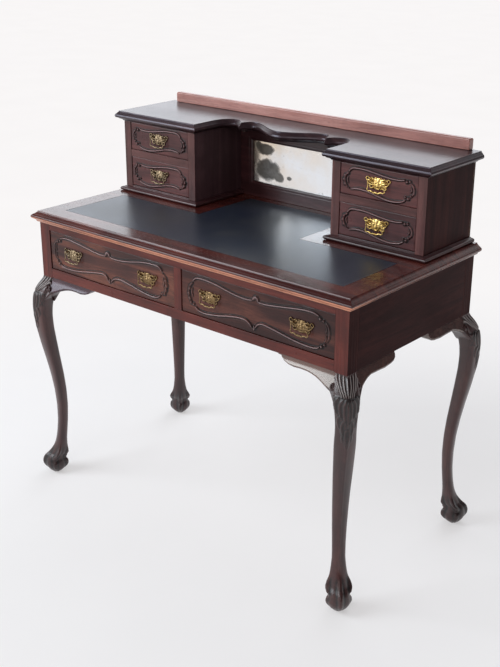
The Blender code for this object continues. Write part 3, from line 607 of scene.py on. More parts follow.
# Shares of a way and soft humps, for arrays of places
def ramp(value, start, end):
    return np.clip((value - start) / (end - start), 0, 1)


def smooth(share):
    return share * share * (3 - 2 * share)


def hump(value, middle, spread):
    return np.exp(-((value - middle) / spread) ** 2)


def pointsOf(piece):
    flat = np.empty(len(piece.data.vertices) * 3)
    piece.data.vertices.foreach_get("co", flat)
    return flat.reshape(-1, 3)


# A grid whose points are placed by where(u, v), both from 0 to 1. It may give a fourth value: above 0
# in the hollows, darkened as dirt and painted shade, below 0 on crests, lightened as rubbing and painted
# highlight.
def shapedGrid(name, across, along, where):
    bpy.ops.object.select_all(action="DESELECT")
    bpy.ops.mesh.primitive_grid_add(x_subdivisions=across, y_subdivisions=along, size=1)
    piece = bpy.context.object
    piece.name = name
    spots = pointsOf(piece)
    placed = where(spots[:, 0] + 0.5, spots[:, 1] + 0.5)
    piece.data.vertices.foreach_set("co", np.column_stack(placed[:3]).ravel())
    if len(placed) > 3:
        wear = piece.data.attributes.new("wear", "FLOAT", "POINT")
        wear.data.foreach_set("value", placed[3])
    return piece


# The same, closed where its edges meet and over what stays open
def closedGrid(name, across, along, where):
    piece = shapedGrid(name, across, along, where)
    inEditMode(piece, mergeDoubles, closeHoles, faceOutward)
    return piece


def finishPiece(piece, finish, body, nodes=(), sharp=50):
    selectOnly(piece)
    bpy.ops.object.shade_smooth_by_angle(angle=radians(sharp))
    piece.data.materials.clear()
    for name in ([finish] if isinstance(finish, str) else finish):
        piece.data.materials.append(finishes[name])
    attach(piece, body)
    if nodes:
        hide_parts(*nodes)


def copyOf(piece, name, matrix):
    made = bpy.data.objects.new(name, piece.data.copy())
    scene.collection.objects.link(made)
    made.data.transform(matrix)
    if matrix.determinant() < 0:
        made.data.flip_normals()
    return made


def discard(*pieces):
    for piece in pieces:
        bpy.data.objects.remove(piece)


def joined(pieces, name):
    bpy.ops.object.select_all(action="DESELECT")
    for piece in pieces:
        piece.select_set(True)
    bpy.context.view_layer.objects.active = pieces[0]
    bpy.ops.object.join()
    pieces[0].name = name
    return pieces[0]


# A round strand along a line of points, all in millimetres; depth is square to a flat line's plane
def strand(name, line, radii, around=10, flat=1.0, depth=(0.0, 1.0, 0.0)):
    line = np.array(line, float)
    radii = np.array(radii, float)
    run = np.gradient(line, axis=0)
    run /= np.linalg.norm(run, axis=1)[:, None]
    side = np.cross(run, np.array(depth))
    side[np.linalg.norm(side, axis=1) < 0.3] = (1, 0, 0)        # where the line runs along depth
    side /= np.linalg.norm(side, axis=1)[:, None]
    lift = np.cross(side, run)
    count = len(line) - 1

    def where(u, v):
        row = np.round(v * count).astype(int)
        turn = 2 * pi * np.round(u * around) / around
        place = line[row] + radii[row, None] * (side[row] * np.cos(turn)[:, None]
                                                + lift[row] * np.sin(turn)[:, None] * flat)
        return place[:, 0] / 1000, place[:, 1] / 1000, place[:, 2] / 1000

    return closedGrid(name, around, count, where)


def evenRadii(values, count):
    return np.interp(np.linspace(0, 1, count), np.linspace(0, 1, len(values)), values)


# Carving: strokes are lists of points that a gouge follows, with a half width and a height in
# millimetres. The relief of a field of strokes is the tallest of them at each place; each stroke's foot is
# a hollow, darkened as dirt and old polish and as painted shade, its crest lightened as rubbing and painted
# highlight.
def smoothLine(points, pieces=6):
    points = np.array(points, float)
    ends = np.vstack([2 * points[0] - points[1], points, 2 * points[-1] - points[-2]])
    line = []
    for k in range(1, len(ends) - 2):
        a, b, c, d = ends[k - 1:k + 3]
        for t in np.linspace(0, 1, pieces, endpoint=False):
            line.append(0.5 * (2 * b + (c - a) * t + (2 * a - 5 * b + 4 * c - d) * t ** 2
                               + (3 * b - a - 3 * c + d) * t ** 3))
    return np.array(line + [points[-1]])


# Distance from each place to a line, over the line's half width there
def nearness(s, t, line, widths):
    best = np.full(s.shape, np.inf)
    for (a, b), (c, d), wide, nextWide in zip(line, line[1:], widths, widths[1:]):
        run, rise = c - a, d - b
        share = np.clip(((s - a) * run + (t - b) * rise) / (run * run + rise * rise + 1e-12), 0, 1)
        away = np.hypot(s - a - share * run, t - b - share * rise)
        best = np.minimum(best, away / (wide + (nextWide - wide) * share))
    return best


def taper(count, thick, ends):
    share = np.linspace(0, 1, count)
    return thick * (ends + (1 - ends) * np.clip(5 * np.minimum(share, 1 - share), 0, 1) ** 0.7)


gouge = {
    # across a stroke, in its half widths: middle and spread
    "hollow": (1.12, 0.42),
    "filletLine": (1.90, 0.26),
    "filletGroove": (1.30, 0.26),
    "crest": (0.125, 0.625),         # lightened whole up to the first, not at all past the second: rubbing and a painted highlight
    "foot": 1.1364,                  # where the bead meets the ground
    "fullness": 0.75,
    "ends": 0.55,                    # a stroke's ends, as a share of its width
}


def stroke(wide, tall, points, **more):
    return {"wide": wide, "tall": tall, "points": points, **more}


def dot(across, up, wide, tall, **more):
    return stroke(wide, tall, [(across, up), (across + 0.01, up + 0.01)], ends=1, **more)


def carve(s, t, strokes):
    relief, hollow, crest = np.zeros(s.shape), np.zeros(s.shape), np.zeros(s.shape)
    for cut in strokes:
        points = cut["points"]
        line = smoothLine(points) if len(points) > 2 else np.array(points, float)
        near = nearness(s, t, line, taper(len(line), cut["wide"], cut.get("ends", gouge["ends"])))
        bead = 0.5 + 0.5 * np.cos(pi * np.clip(near / gouge["foot"], 0, 1))
        relief = np.maximum(relief, cut["tall"] * bead ** gouge["fullness"])
        hollow = np.maximum(hollow * np.clip(near + 0.1, 0, 1), hump(near, *gouge["hollow"]))
        crest = np.maximum(crest, (1 - ramp(near, *gouge["crest"])) * cut.get("crest", 1))
        if "fillet" in cut:              # a thin line beside the bead, past a narrow groove
            line = 1.2 * hump(near, *gouge["filletLine"]) - hump(near, *gouge["filletGroove"])
            relief += cut["fillet"] * line * (near > 1)
    return relief, hollow * (1 - crest) - crest


# Knee brackets: a wing under the rail whose face sweeps forward to its lower edge, most at the knee
bracketLook = {
    "along": 90,
    "rows": {"top": 3, "face": 16, "nose": 6, "under": 2, "back": 4},     # the grid's, round the section
    "crowding": 1.6,         # its rows along the wing crowd towards the nose
    "thickness": 0.021,
    "setBack": 0.003,
    "drop": 0.080,
    "slopes": {"front": (0.10, 0.46), "side": (0.42, 0.42)},  # how fast the face comes out, high and low
    "turnBy": 0.014,         # the depth at which it has the lower slope
    "farthest": 0.0285,
    "edgeRound": 0.0050,
    "edgeShare": 0.2,        # the rounding is at most this share of the wing's height
    "darkBelow": 0.036,
    "railGap": 0.0003,
    # the lower edge of each wing: share of the reach from the corner, then share of the drop
    "front": [(0.06, 0.93), (0.095, 0.811), (0.132, 0.708), (0.163, 0.618), (0.194, 0.547), (0.242, 0.504),
              (0.303, 0.443), (0.365, 0.379), (0.437, 0.320), (0.506, 0.280), (0.573, 0.256), (0.658, 0.251),
              (0.762, 0.265), (0.841, 0.239), (0.905, 0.183), (0.945, 0.100), (0.960, 0.04)],
    "side": [(0.06, 0.89), (0.108, 0.784), (0.155, 0.669), (0.211, 0.541), (0.249, 0.474), (0.311, 0.405),
             (0.386, 0.344), (0.456, 0.308), (0.575, 0.312), (0.666, 0.317), (0.756, 0.325), (0.888, 0.299),
             (0.944, 0.267), (0.985, 0.201), (1.0, 0.10)],
}


def wingSweep(depth, edge="front"):
    look = bracketLook
    slow, fast = look["slopes"][edge]
    share = np.clip(depth / look["turnBy"], 0, 1)
    gained = look["turnBy"] * (share ** 3 - share ** 4 / 2) + np.maximum(depth - look["turnBy"], 0)
    return np.minimum(slow * depth + (fast - slow) * gained, look["farthest"])


# Legs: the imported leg's rings, smoothed, then carved at the knee and sharpened at the foot. Lengths
# are in metres where nothing else is said, angles in radians from the leg's outer side.
legLook = {
    "around": 112,
    "rowStep": 0.00125,
    "soften": (0.0065, 0.0022),      # along the leg, and along the foot
    "softenAround": 0.13,
    "footTop": 0.082,
    "footJoinShares": (0.80, 1.12),  # of the foot's top: the foot's own shape ends, the leg's begins
    "talonWidth": 0.21,
    "talonGroove": (1.45, 0.45),     # beside a talon, in its widths: middle and spread
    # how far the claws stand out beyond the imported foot, in millimetres, at these heights; then how
    # much of that the front, side and back claws have
    "knuckles": {"up": (0, 10, 24, 33, 39, 43, 47, 54, 64, 82),
                 "out": (-1.6, -0.4, 0.4, -0.6, -4.4, -3.2, 1.6, 2.6, 1.0, 0)},
    "clawShares": (0.12, 1.0, 0.6, 1.0),
    # the grooves beside the talons are darkened by the first, painted shade; the whole foot by the second
    "grooveDark": 0.80,
    "footDark": 0.28,
    # the soft ridge that runs down the front of the leg between knee and foot
    "shin": {"from": (0.07, 0.12), "to": (0.42, 0.47), "wide": 0.16, "tall": 0.0011},
    # the ground that the carving stands on is cut back, by this much at these depths in millimetres
    "kneeSink": {"down": (0, 60, 104, 176), "back": (0.0034, 0.0034, 0.0028, 0.0)},
    "kneeTop": 0.585,
    "squareOver": 0.006,             # below the rail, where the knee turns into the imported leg's corner
    "carvedSide": (-0.42, -0.12),    # cosines of the angles past which the leg isn't carved
    "carvedDown": ((0, 5), (126, 176)),      # in millimetres: it comes in and goes out over these
    # The leaf below the flutes, in millimetres: where it starts, its length, half width and height
    "leafTop": 42,
    "leafLength": 124,
    "leafHalf": 29,
    "leafTall": 1.0,
    "leafEdge": 1.8,
    "leafTaper": 1.7,
    "leafScallops": (0.09, 5.5),
    "leafDark": 0.30,
    # The scrolls beside the flutes, in millimetres: from the corner, below the rail, off the bracket
    "scrollAcross": 27.0,
    "scrollDown": 30.0,
    "scrollProud": 2.6,
    "scrollTurn": 0.22,
    "scrollRadius": 9.5,
    "scrollTurns": 1.35,
    "scrollStart": 0.9,
    "scrollShrinks": 0.78,
    "scrollRises": 1.6,
    "scrollPoints": 44,
    "scrollWide": (1.0, 1.5, 1.7, 1.7, 1.6, 1.5, 1.5, 2.4),
    "sideScrollProudShare": 0.4,
    "bossDepthShare": 0.24,
    "bossSunk": 1.2,
}
# Knee carving, in millimetres from the ridge and down from the rail; it is the same on each side
kneeStrokes = [
    stroke(2.3, 2.5, [(0, 3), (0, 20), (0, 40)]),
    stroke(2.8, 2.9, [(7.4, 1), (8.2, 11), (7.6, 25), (4.0, 41)]),
    stroke(2.8, 2.9, [(14.6, 1), (15.6, 11), (13.6, 25), (8.4, 42)]),
    stroke(2.8, 3.0, [(21.4, 1), (22.0, 10), (19.2, 23), (13.2, 42)]),
    stroke(2.6, 3.0, [(28.0, 1), (27.6, 8), (25.0, 18), (20.0, 33)]),
    stroke(2.6, 1.7, [(0, 48), (0.8, 78), (0, 110)], crest=0),
    stroke(3.4, 2.0, [(4.5, 46), (9, 60), (8.4, 80), (5, 98)], crest=0),
    stroke(3.4, 2.2, [(12, 47), (17.5, 56), (18.5, 70), (15, 86)], crest=0),
    stroke(3.2, 2.2, [(20, 44), (26, 53), (28, 65), (25.5, 78)], crest=0),
    stroke(2.8, 1.7, [(29, 46), (32, 56), (31, 66)], crest=0),
    stroke(3.0, 2.0, [(8.5, 92), (13, 101), (13, 114), (9.5, 127)], crest=0),
    stroke(2.8, 1.9, [(16, 82), (21.5, 90), (22, 102), (19, 112)], crest=0),
    stroke(2.8, 1.9, [(1, 110), (4.5, 118), (4.5, 134), (2, 147)], crest=0),
    stroke(2.6, 1.8, [(9, 124), (12, 132), (10, 145)], crest=0),
    stroke(2.4, 1.6, [(2.5, 144), (4, 153), (1, 163)], crest=0),
]


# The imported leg's outline at each height, as the middle of the ring and its reach at each angle
def cadRings(node, corner, outward):
    spots = pointsOf(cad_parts[node])
    across = Vector((-outward[1], outward[0]))
    own = np.column_stack([(spots[:, 0] - corner[0]) * outward[0] + (spots[:, 1] - corner[1]) * outward[1],
                           (spots[:, 0] - corner[0]) * across[0] + (spots[:, 1] - corner[1]) * across[1],
                           spots[:, 2]])
    angles = np.linspace(0, 2 * pi, legLook["around"], endpoint=False)
    rings = []
    for height in np.unique(np.round(own[:, 2], 5)):
        ring = np.unique(np.round(own[np.abs(own[:, 2] - height) < 0.00001, :2], 5), axis=0)
        centre = (ring[:, 0].max() + ring[:, 0].min()) / 2
        ring = ring - (centre, 0)
        ring = ring[np.argsort(np.arctan2(ring[:, 1], ring[:, 0]))]
        side = np.roll(ring, -1, axis=0) - ring
        lengths = np.maximum((side * side).sum(1), 1e-12)
        turned = ring[:, 0] * side[:, 1] - ring[:, 1] * side[:, 0]
        radii = np.zeros(len(angles))
        for k, angle in enumerate(angles):          # the ray at this angle meets one side of the ring
            ray = np.array((cos(angle), sin(angle)))
            slant = ray[0] * side[:, 1] - ray[1] * side[:, 0]
            reach = turned / np.where(slant == 0, 1, slant)
            share = ((reach[:, None] * ray - ring) * side).sum(1) / lengths
            radii[k] = reach[(slant != 0) & (reach > 0) & (share > -0.001) & (share < 1.001)].max()
        rings.append((height, centre, radii))
    return angles, rings


def blurred(rows, spread):
    reach = int(3 * spread) + 1
    kernel = np.exp(-0.5 * (np.arange(-reach, reach + 1) / spread) ** 2)
    kernel /= kernel.sum()
    padded = np.concatenate([np.repeat(rows[:1], reach, 0), rows, np.repeat(rows[-1:], reach, 0)])
    return np.array([np.tensordot(kernel, padded[k:k + len(kernel)], 1) for k in range(len(rows))])


def clawRadii(angles, radii, height):
    look = legLook
    quarter = len(angles) // 4
    web = radii[quarter // 2::quarter].mean()
    bend = np.interp(height * 1000, look["knuckles"]["up"], look["knuckles"]["out"]) / 1000
    made, groove = np.full(len(angles), web), np.zeros(len(angles))
    for k, share in enumerate(look["clawShares"]):
        apart = np.abs((angles - k * pi / 2 + pi) % (2 * pi) - pi)
        narrow = look["talonWidth"] * (0.72 + 0.55 * min(1, height / 0.05))
        ridge = hump(apart, 0, narrow) * (0.88 + 0.12 * np.cos(apart * 3))
        made = made + (radii[k * quarter] - web + bend * share) * ridge
        groove = np.maximum(groove, hump(apart / narrow, *look["talonGroove"]))
    return made, groove * look["grooveDark"]


def legGrid(node, corner, outward):
    look = legLook
    angles, rings = cadRings(node, corner, outward)
    knots, middles, reaches = (np.array(values) for values in zip(*rings))
    heights = np.linspace(0, look["kneeTop"], int(look["kneeTop"] / look["rowStep"]) + 1)
    centres = np.interp(heights, knots, middles)
    radii = np.array([np.interp(heights, knots, reach) for reach in reaches.T]).T
    (legCentre, legRadii), (footCentre, footRadii) = (
        (blurred(centres[:, None], spread / look["rowStep"])[:, 0], blurred(radii, spread / look["rowStep"]))
        for spread in look["soften"])
    offFront = np.minimum(angles, 2 * pi - angles)
    turned = np.exp(-0.5 * (offFront / look["softenAround"]) ** 2)
    turned /= turned.sum()
    rounded = np.real(np.fft.ifft(np.fft.fft(legRadii, axis=1) * np.fft.fft(turned), axis=1))
    foot, grooves = (np.array(values) for values in zip(*[clawRadii(angles, row, height)
                                                          for row, height in zip(footRadii, heights)]))
    share = smooth(ramp(heights / look["footTop"], *look["footJoinShares"]))
    square = ramp(heights, look["kneeTop"] - look["squareOver"], look["kneeTop"])
    centre = (footCentre * (1 - share) + legCentre * share) * (1 - square) + centres * square
    share, square = share[:, None], square[:, None]
    body = (foot * (1 - share) + rounded * share) * (1 - square) + radii * square

    s = np.abs(body * np.sin(angles)) * 1000
    down = np.repeat((look["kneeTop"] - heights)[:, None] * 1000, len(angles), 1)
    relief, wear = carve(s, down, kneeStrokes)
    along = np.clip((down - look["leafTop"]) / look["leafLength"], 0, 1)
    scallop, count = look["leafScallops"]
    leafHalf = look["leafHalf"] * (1 - along ** look["leafTaper"])
    leafHalf = leafHalf * (1 + scallop * np.abs(np.sin(along * count * pi)))
    leaf = np.clip((leafHalf - s) / look["leafEdge"], 0, 1) * (down > look["leafTop"])
    comesIn, goesOut = look["carvedDown"]
    carved = smooth(1 - ramp(down, *goesOut)) * ramp(down, *comesIn)
    carved = carved * ramp(np.cos(angles), *look["carvedSide"])
    sink = np.interp(down, look["kneeSink"]["down"], look["kneeSink"]["back"])
    body = body + carved * ((relief + look["leafTall"] * leaf) / 1000 - sink)
    wear = np.clip(wear * 0.8 + leaf * look["leafDark"], -1, 1) * carved
    # the foot darkened all over and more in the grooves beside the talons, painted shade there
    wear = wear + (grooves + look["footDark"]) * (1 - share)
    shin = look["shin"]
    ridge = hump(offFront, 0, shin["wide"]) * shin["tall"]
    body = body + (ramp(heights, *shin["from"]) * (1 - ramp(heights, *shin["to"])))[:, None] * ridge
    return angles, heights, centre, body, wear


# The scroll where a knee meets its bracket, on a low boss: across is the way along the rail from
# the corner, out the way that the rail faces
def kneeScroll(name, corner, across, out, proud):
    look = legLook
    across, out, up = np.array((*across, 0)), np.array((*out, 0)), np.array((0, 0, 1.0))
    facing = out * cos(look["scrollTurn"]) - across * sin(look["scrollTurn"])
    facing = facing + up * bracketLook["slopes"]["front"][1]
    facing = facing / np.linalg.norm(facing)
    hand = 1 if across[0] < 0 else -1
    level = np.cross(up, facing) * hand
    level = level / np.linalg.norm(level)
    rise = np.cross(facing, level) * hand
    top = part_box("rail_bottom_front")[0][2] * 1000
    down = look["scrollDown"]
    middle = (np.array((*corner, 0)) * 1000 + across * look["scrollAcross"] + up * (top - down)
              + out * ((float(wingSweep(down / 1000)) - bracketLook["setBack"]) * 1000 + proud))
    line = []
    for share in np.linspace(0, 1, look["scrollPoints"]):
        turn = 2 * pi * look["scrollTurns"] * share - look["scrollStart"]
        reach = look["scrollRadius"] * (1 - look["scrollShrinks"] * share)
        line.append(middle + level * reach * cos(turn) + rise * reach * sin(turn)
                    + facing * look["scrollRises"] * share)
    curl = strand(name, line, evenRadii(look["scrollWide"], look["scrollPoints"]), 12, 1.0, facing)
    bpy.ops.mesh.primitive_uv_sphere_add(segments=28, ring_count=14, radius=1)
    boss = bpy.context.object
    size = np.array((1, 1, look["bossDepthShare"])) * look["scrollRadius"] / 1000
    turned = Matrix((level, rise, facing)).transposed() @ Matrix.Diagonal(size)
    boss.data.transform(Matrix.Translation((middle - facing * look["bossSunk"]) / 1000) @ turned.to_4x4())
    return [curl, boss]


def carvedLeg():
    corner = (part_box("side_panel_right")[1][0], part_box("rail_bottom_front")[0][1])
    outward = (sqrt(0.5), -sqrt(0.5))
    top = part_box("leg_front_right")[1][2]
    angles, heights, centre, body, wear = legGrid("leg_front_right", corner, outward)
    around, rows = len(angles), len(heights)

    def where(u, v):
        column = np.round(u * around).astype(int) % around
        row = np.round(v * rows).astype(int)                   # the last row is the post's top
        post = row == rows
        row = np.minimum(row, rows - 1)
        angle, reach = angles[column], body[row, column]
        along = centre[row] + reach * np.cos(angle)
        side = reach * np.sin(angle)
        x = corner[0] + along * outward[0] - side * outward[1]
        y = corner[1] + along * outward[1] + side * outward[0]
        return x, y, np.where(post, top, heights[row]), np.where(post, 0, wear[row, column])

    leg = closedGrid("carvedLeg", around, rows, where)
    proud = legLook["scrollProud"]
    sideScroll = kneeScroll("sideScroll", corner, (0, 1), (1, 0), proud * legLook["sideScrollProudShare"])
    frontScroll = kneeScroll("frontScroll", corner, (-1, 0), (0, -1), proud)
    return joined([leg] + sideScroll, "carvedLeg"), joined(frontScroll, "frontScroll")


# The back legs have no bracket, so no scroll, at the back
plainLeg, frontScroll = carvedLeg()
legPlaces = {"front_right": (1, 1), "front_left": (-1, 1), "back_right": (1, -1), "back_left": (-1, -1)}
for corner, (flipX, flipY) in legPlaces.items():
    flip = Matrix.Diagonal((flipX, flipY, 1, 1))
    leg = copyOf(plainLeg, "carvedLeg_" + corner, flip)
    if flipY > 0:
        leg = joined([leg, copyOf(frontScroll, "scroll", flip)], leg.name)
    finishPiece(leg, ["legWood", "uprightWood", "blockSideWood"], "desk",
                ["leg_" + corner], sharp=60)
    # the post's faces that look along X take the darker side copy: painted shade
    for face in leg.data.polygons:
        post = face.center.z > legLook["kneeTop"] - 0.001
        face.material_index = 0 if not post else 2 if abs(face.normal.x) > 0.7 else 1
discard(plainLeg, frontScroll)
print("legs carved")


# A wing drawn along +X from the carcass corner, its face towards -Y
def bracketWing(name, reach, edge):
    look = bracketLook
    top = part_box("rail_bottom_front")[0][2] - look["railGap"]
    spots = np.array(look[edge])
    back = look["setBack"] + look["thickness"]
    faceAt, noseAt, underAt, backAt, around = (int(row) for row in np.cumsum(list(look["rows"].values())))

    def where(u, v):
        share = spots[0, 0] + (1 - spots[0, 0]) * (1 - (1 - v) ** look["crowding"])
        height = look["drop"] * np.interp(share, spots[:, 0], spots[:, 1])
        corner = np.minimum(look["edgeRound"], look["edgeShare"] * height)
        front = look["setBack"] - wingSweep(height - corner, edge)
        # Round the section: the top forward, down the face, round the nose, under, up the back
        turn = u * around
        down = (height - corner) * ramp(turn, faceAt, noseAt)
        arc = ramp(turn, noseAt, underAt) * pi / 2
        ways = [turn < faceAt, turn <= noseAt, turn <= underAt, turn <= backAt]
        y = np.select(ways, [back - look["thickness"] * turn / faceAt,
                             look["setBack"] - wingSweep(down, edge),
                             front + corner * (1 - np.cos(arc)),
                             front + corner + (back - front - corner) * ramp(turn, underAt, backAt)], back)
        z = np.select(ways, [0 * turn, -down, -(height - corner) - corner * np.sin(arc), -height],
                      -height * (1 - ramp(turn, backAt, around)))
        return share * reach, y, top + z

    return closedGrid(name, around, look["along"], where)


def setBrackets():
    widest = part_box("side_panel_right")[1][0]
    deepest = -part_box("rail_bottom_front")[0][1]
    ahead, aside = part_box("bracket_front_right_front"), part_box("bracket_front_right_side")
    frontWing = bracketWing("frontWing", widest - ahead[0][0], "front")
    sideWing = bracketWing("sideWing", aside[1][1] + deepest, "side")
    inward = Matrix(((0, 1, 0, 0), (1, 0, 0, 0), (0, 0, 1, 0), (0, 0, 0, 1)))      # X and Y changed over
    for node in nodesFrom("bracket_"):
        sideX = -1 if "_left_" in node else 1
        sideY = -1 if node.startswith("bracket_front") else 1
        stand = Matrix.Translation((sideX * widest, sideY * deepest, 0))
        wing, turn = (sideWing, inward) if node.endswith("side") else (frontWing, Matrix())
        piece = copyOf(wing, "carvedWing_" + node, stand @ Matrix.Diagonal((-sideX, -sideY, 1, 1)) @ turn)
        inEditMode(piece, faceOutward)
        finish = "shadedBracketWood" if node == "bracket_front_left_front" else "bracketWood"
        finishPiece(piece, [finish, "legWood"], "desk", [node], sharp=40)
        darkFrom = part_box(node)[1][2] - bracketLook["darkBelow"]
        for face in piece.data.polygons:
            face.material_index = int(face.center.z < darkFrom)
    discard(frontWing, sideWing)


setBrackets()
print("brackets set")


# Drawer fronts. Strokes are in millimetres from the middle of a right-hand drawer, right and up
frontLook = {
    "grain": 0.0008,            # the carved field's grid
    "edgeRound": 0.0009,
    "edgeReach": 2.2,           # the rounding's width, in its depths
    "thickness": 0.020,
}
frontStrokes = {
    "frieze": [
        stroke(3.2, 4.2, [(-184, 33), (-176, 40), (-163, 42.5), (-136, 42), (-106, 38), (-76, 32),
                          (-45, 27.5), (-20, 26.5), (-5, 28.5)], ends=0.7, fillet=0.5),
        stroke(4.2, 3.8, [(-3, 30), (0.5, 35), (5, 38)]),
        stroke(4.6, 4.2, [(4.5, 34), (6.5, 38)]),
        stroke(3.8, 3.6, [(6, 38), (10, 34), (12, 29)]),
        stroke(3.2, 4.2, [(13, 27.5), (35, 27.5), (65, 31), (105, 37), (140, 41.5), (164, 42),
                          (180, 38)], ends=0.7, fillet=0.5),
        dot(184, 32, 4.6, 4.8),
        dot(193, 29, 3.9, 4.6),
        stroke(3.4, 2.6, [(200, 27), (206, 18), (208.5, 6), (207, -7), (202, -17)], ends=0.5, crest=0.25),
        stroke(2.6, 2.2, [(199, 22), (201.5, 12), (199, 3)], crest=0.2),
        stroke(2.6, 2.2, [(200, -3), (201, -11), (197, -18)], crest=0.2),
        dot(197, -24, 3.9, 4.6),
        dot(189, -30, 4.6, 4.8),
        stroke(3.4, 4.4, [(-177, -31), (-168, -37), (-150, -39.5), (-130, -38), (-103, -33.5),
                          (-75, -27.5), (-45, -23), (-25, -23.5), (-13, -29), (-6, -36)],
                         ends=0.6, fillet=0.5),
        stroke(3.4, 3.8, [(1, -31), (1, -37), (1, -41)]),
        stroke(3.4, 4.4, [(5, -35), (12, -26), (27, -21.5), (55, -25), (95, -32), (125, -36.5),
                          (160, -38.5), (178, -36), (183, -32)], ends=0.6, fillet=0.5),
        stroke(4.6, 3.8, [(-187, 26), (-192, 21)], crest=0.5),
        stroke(4.4, 3.2, [(-191, 24), (-197, 13), (-198, 0), (-196, -13), (-190, -24)], crest=0.3),
        dot(-196, 11, 4.8, 4.4, crest=0.5),
        dot(-199, -1, 5.2, 4.8, crest=0.5),
        dot(-196, -13, 4.8, 4.6, crest=0.5),
        stroke(3.0, 2.6, [(-188, 14), (-190, 4), (-187, -6)], crest=0.4),
        dot(-184, -25, 4.0, 4.4),
        dot(-192, -23, 4.2, 4.4, crest=0.6),
    ],
    "block": [
        stroke(3.2, 4.0, [(-80, 19), (-75, 25), (-67, 28.3), (-53, 29.3), (-30, 28.6), (-7, 25.6),
                          (17, 22), (37, 20), (56, 20), (70, 22.5)], ends=0.7),
        dot(77, 19.5, 4.4, 4.8),
        dot(84.5, 21, 3.6, 4.4),
        stroke(3.2, 3.0, [(86, 17), (93, 12), (96, 4), (95.5, -4), (92, -10)], ends=0.5, crest=0.5),
        stroke(2.6, 2.6, [(88, 8), (90, 2), (87, -3)], crest=0.4),
        dot(88.5, -11.5, 3.6, 4.4),
        dot(82, -18, 4.4, 4.8),
        dot(74, -16, 3.2, 4.0),
        stroke(3.3, 4.1, [(74, -23), (66, -27.5), (50, -31), (36, -31.5), (20, -30), (0, -26),
                          (-23, -20.7), (-45, -18), (-62, -19), (-74, -22.5)], ends=0.6),
        dot(-80, -19.5, 1.98, 3.8),
        stroke(3.8, 3.2, [(-82, 15), (-89, 9), (-92, 0), (-90, -10), (-84, -18)], crest=0.5),
        dot(-83, 14, 4.0, 4.2),
        dot(-91, 8, 4.6, 4.6, crest=0.6),
        dot(-94, -2, 4.8, 4.8, crest=0.6),
        dot(-91, -12, 4.4, 4.6, crest=0.6),
        stroke(2.6, 2.8, [(-83, 6), (-85, -1), (-82, -8)], crest=0.5),
    ],
}


def carvedFront(node, kind, mirrored):
    look = frontLook
    low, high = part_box(node)
    face = high[1] - look["thickness"]
    middle = ((low[0] + high[0]) / 2, (low[2] + high[2]) / 2)
    width, height = high[0] - low[0], high[2] - low[2]

    def where(u, v):
        x, z = (u - 0.5) * width, (v - 0.5) * height
        relief, wear = carve(x * (-1000 if mirrored else 1000), z * 1000, frontStrokes[kind])
        edge = np.minimum(np.minimum(u, 1 - u) * width, np.minimum(v, 1 - v) * height)
        roll = look["edgeRound"] * (1 - ramp(edge, 0, look["edgeReach"] * look["edgeRound"])) ** 2
        return middle[0] + x, face + roll - relief / 1000, middle[1] + z, wear

    def pushBack():
        bpy.ops.mesh.region_to_loop()
        bpy.ops.mesh.extrude_region_move(TRANSFORM_OT_translate={"value": (0, look["thickness"], 0)})
        bpy.ops.transform.resize(value=(1, 0, 1), center_override=(middle[0], high[1], middle[1]))
        bpy.ops.mesh.edge_face_add()
        bpy.ops.mesh.select_all(action="SELECT")

    piece = shapedGrid("carved_" + node, int(width / look["grain"]), int(height / look["grain"]), where)
    inEditMode(piece, pushBack, faceOutward)
    finish = "blockFrontWood" if kind == "block" else "friezeLeftWood" if mirrored else "friezeRightWood"
    finishPiece(piece, finish, node.replace("_front", "", 1), [node], sharp=60)


for node in nodesFrom("drawer_front_"):
    carvedFront(node, "frieze" if "frieze" in node else "block", "_left" in node)
print("drawer fronts carved")


# Handles: a shell on the plate, with ring ears, arms, turned posts and a knuckled bail. Lengths
# in millimetres: right and up from the plate's middle, and out from the drawer's face.
handleLook = {
    "around": 10,
    "shellHalf": (19.5, 16.5),
    "shellMiddle": -0.8,
    "shellGrid": (120, 26),
    "shellEdge": (0.94, 0.97),       # shares of the grid: the face ends, the plate's back begins
    "rim": 1.3,
    "thinnest": 0.5,
    "dome": 2.6,
    "domeFlatness": 2.4,
    "petals": 9,
    "petalRise": 1.25,
    "petalReach": 0.13,
    "fanFoot": -17.0,
    "fanHalf": 1.08,                 # radians
    "waist": 0.20,                   # the shell narrows downwards and at its sides by these shares
    "sideNotch": (0.16, 0.25),
    # the boss in its middle, the groove round it and the ring of beads: height, radius, width
    "boss": (1.5, 5.0),
    "bossDown": 1.0,
    "groove": (0.9, 6.4, 0.9),
    "beads": (0.9, 8.6, 1.0),
    "beadCount": 24,
    "earMiddle": (28.6, 11.2),
    "earRadius": 4.1,
    "earOut": 1.3,
    "earWide": (1.25, 0.25),         # half width and how much it swells, four times round
    "earPoints": 25,
    "postSpread": 18.5,
    "pivotRise": 10.0,
    "pivotReach": 9.2,
    # the turned posts: out from the drawer, and the radius there
    "postOut": (0.3, 1.2, 1.9, 2.6, 4.0, 5.6, 6.4, 7.4, 8.6, 9.8, 10.9, 11.5),
    "postRadius": (4.3, 4.3, 3.4, 2.3, 1.9, 2.1, 3.0, 3.0, 2.6, 3.1, 2.6, 1.0),
}
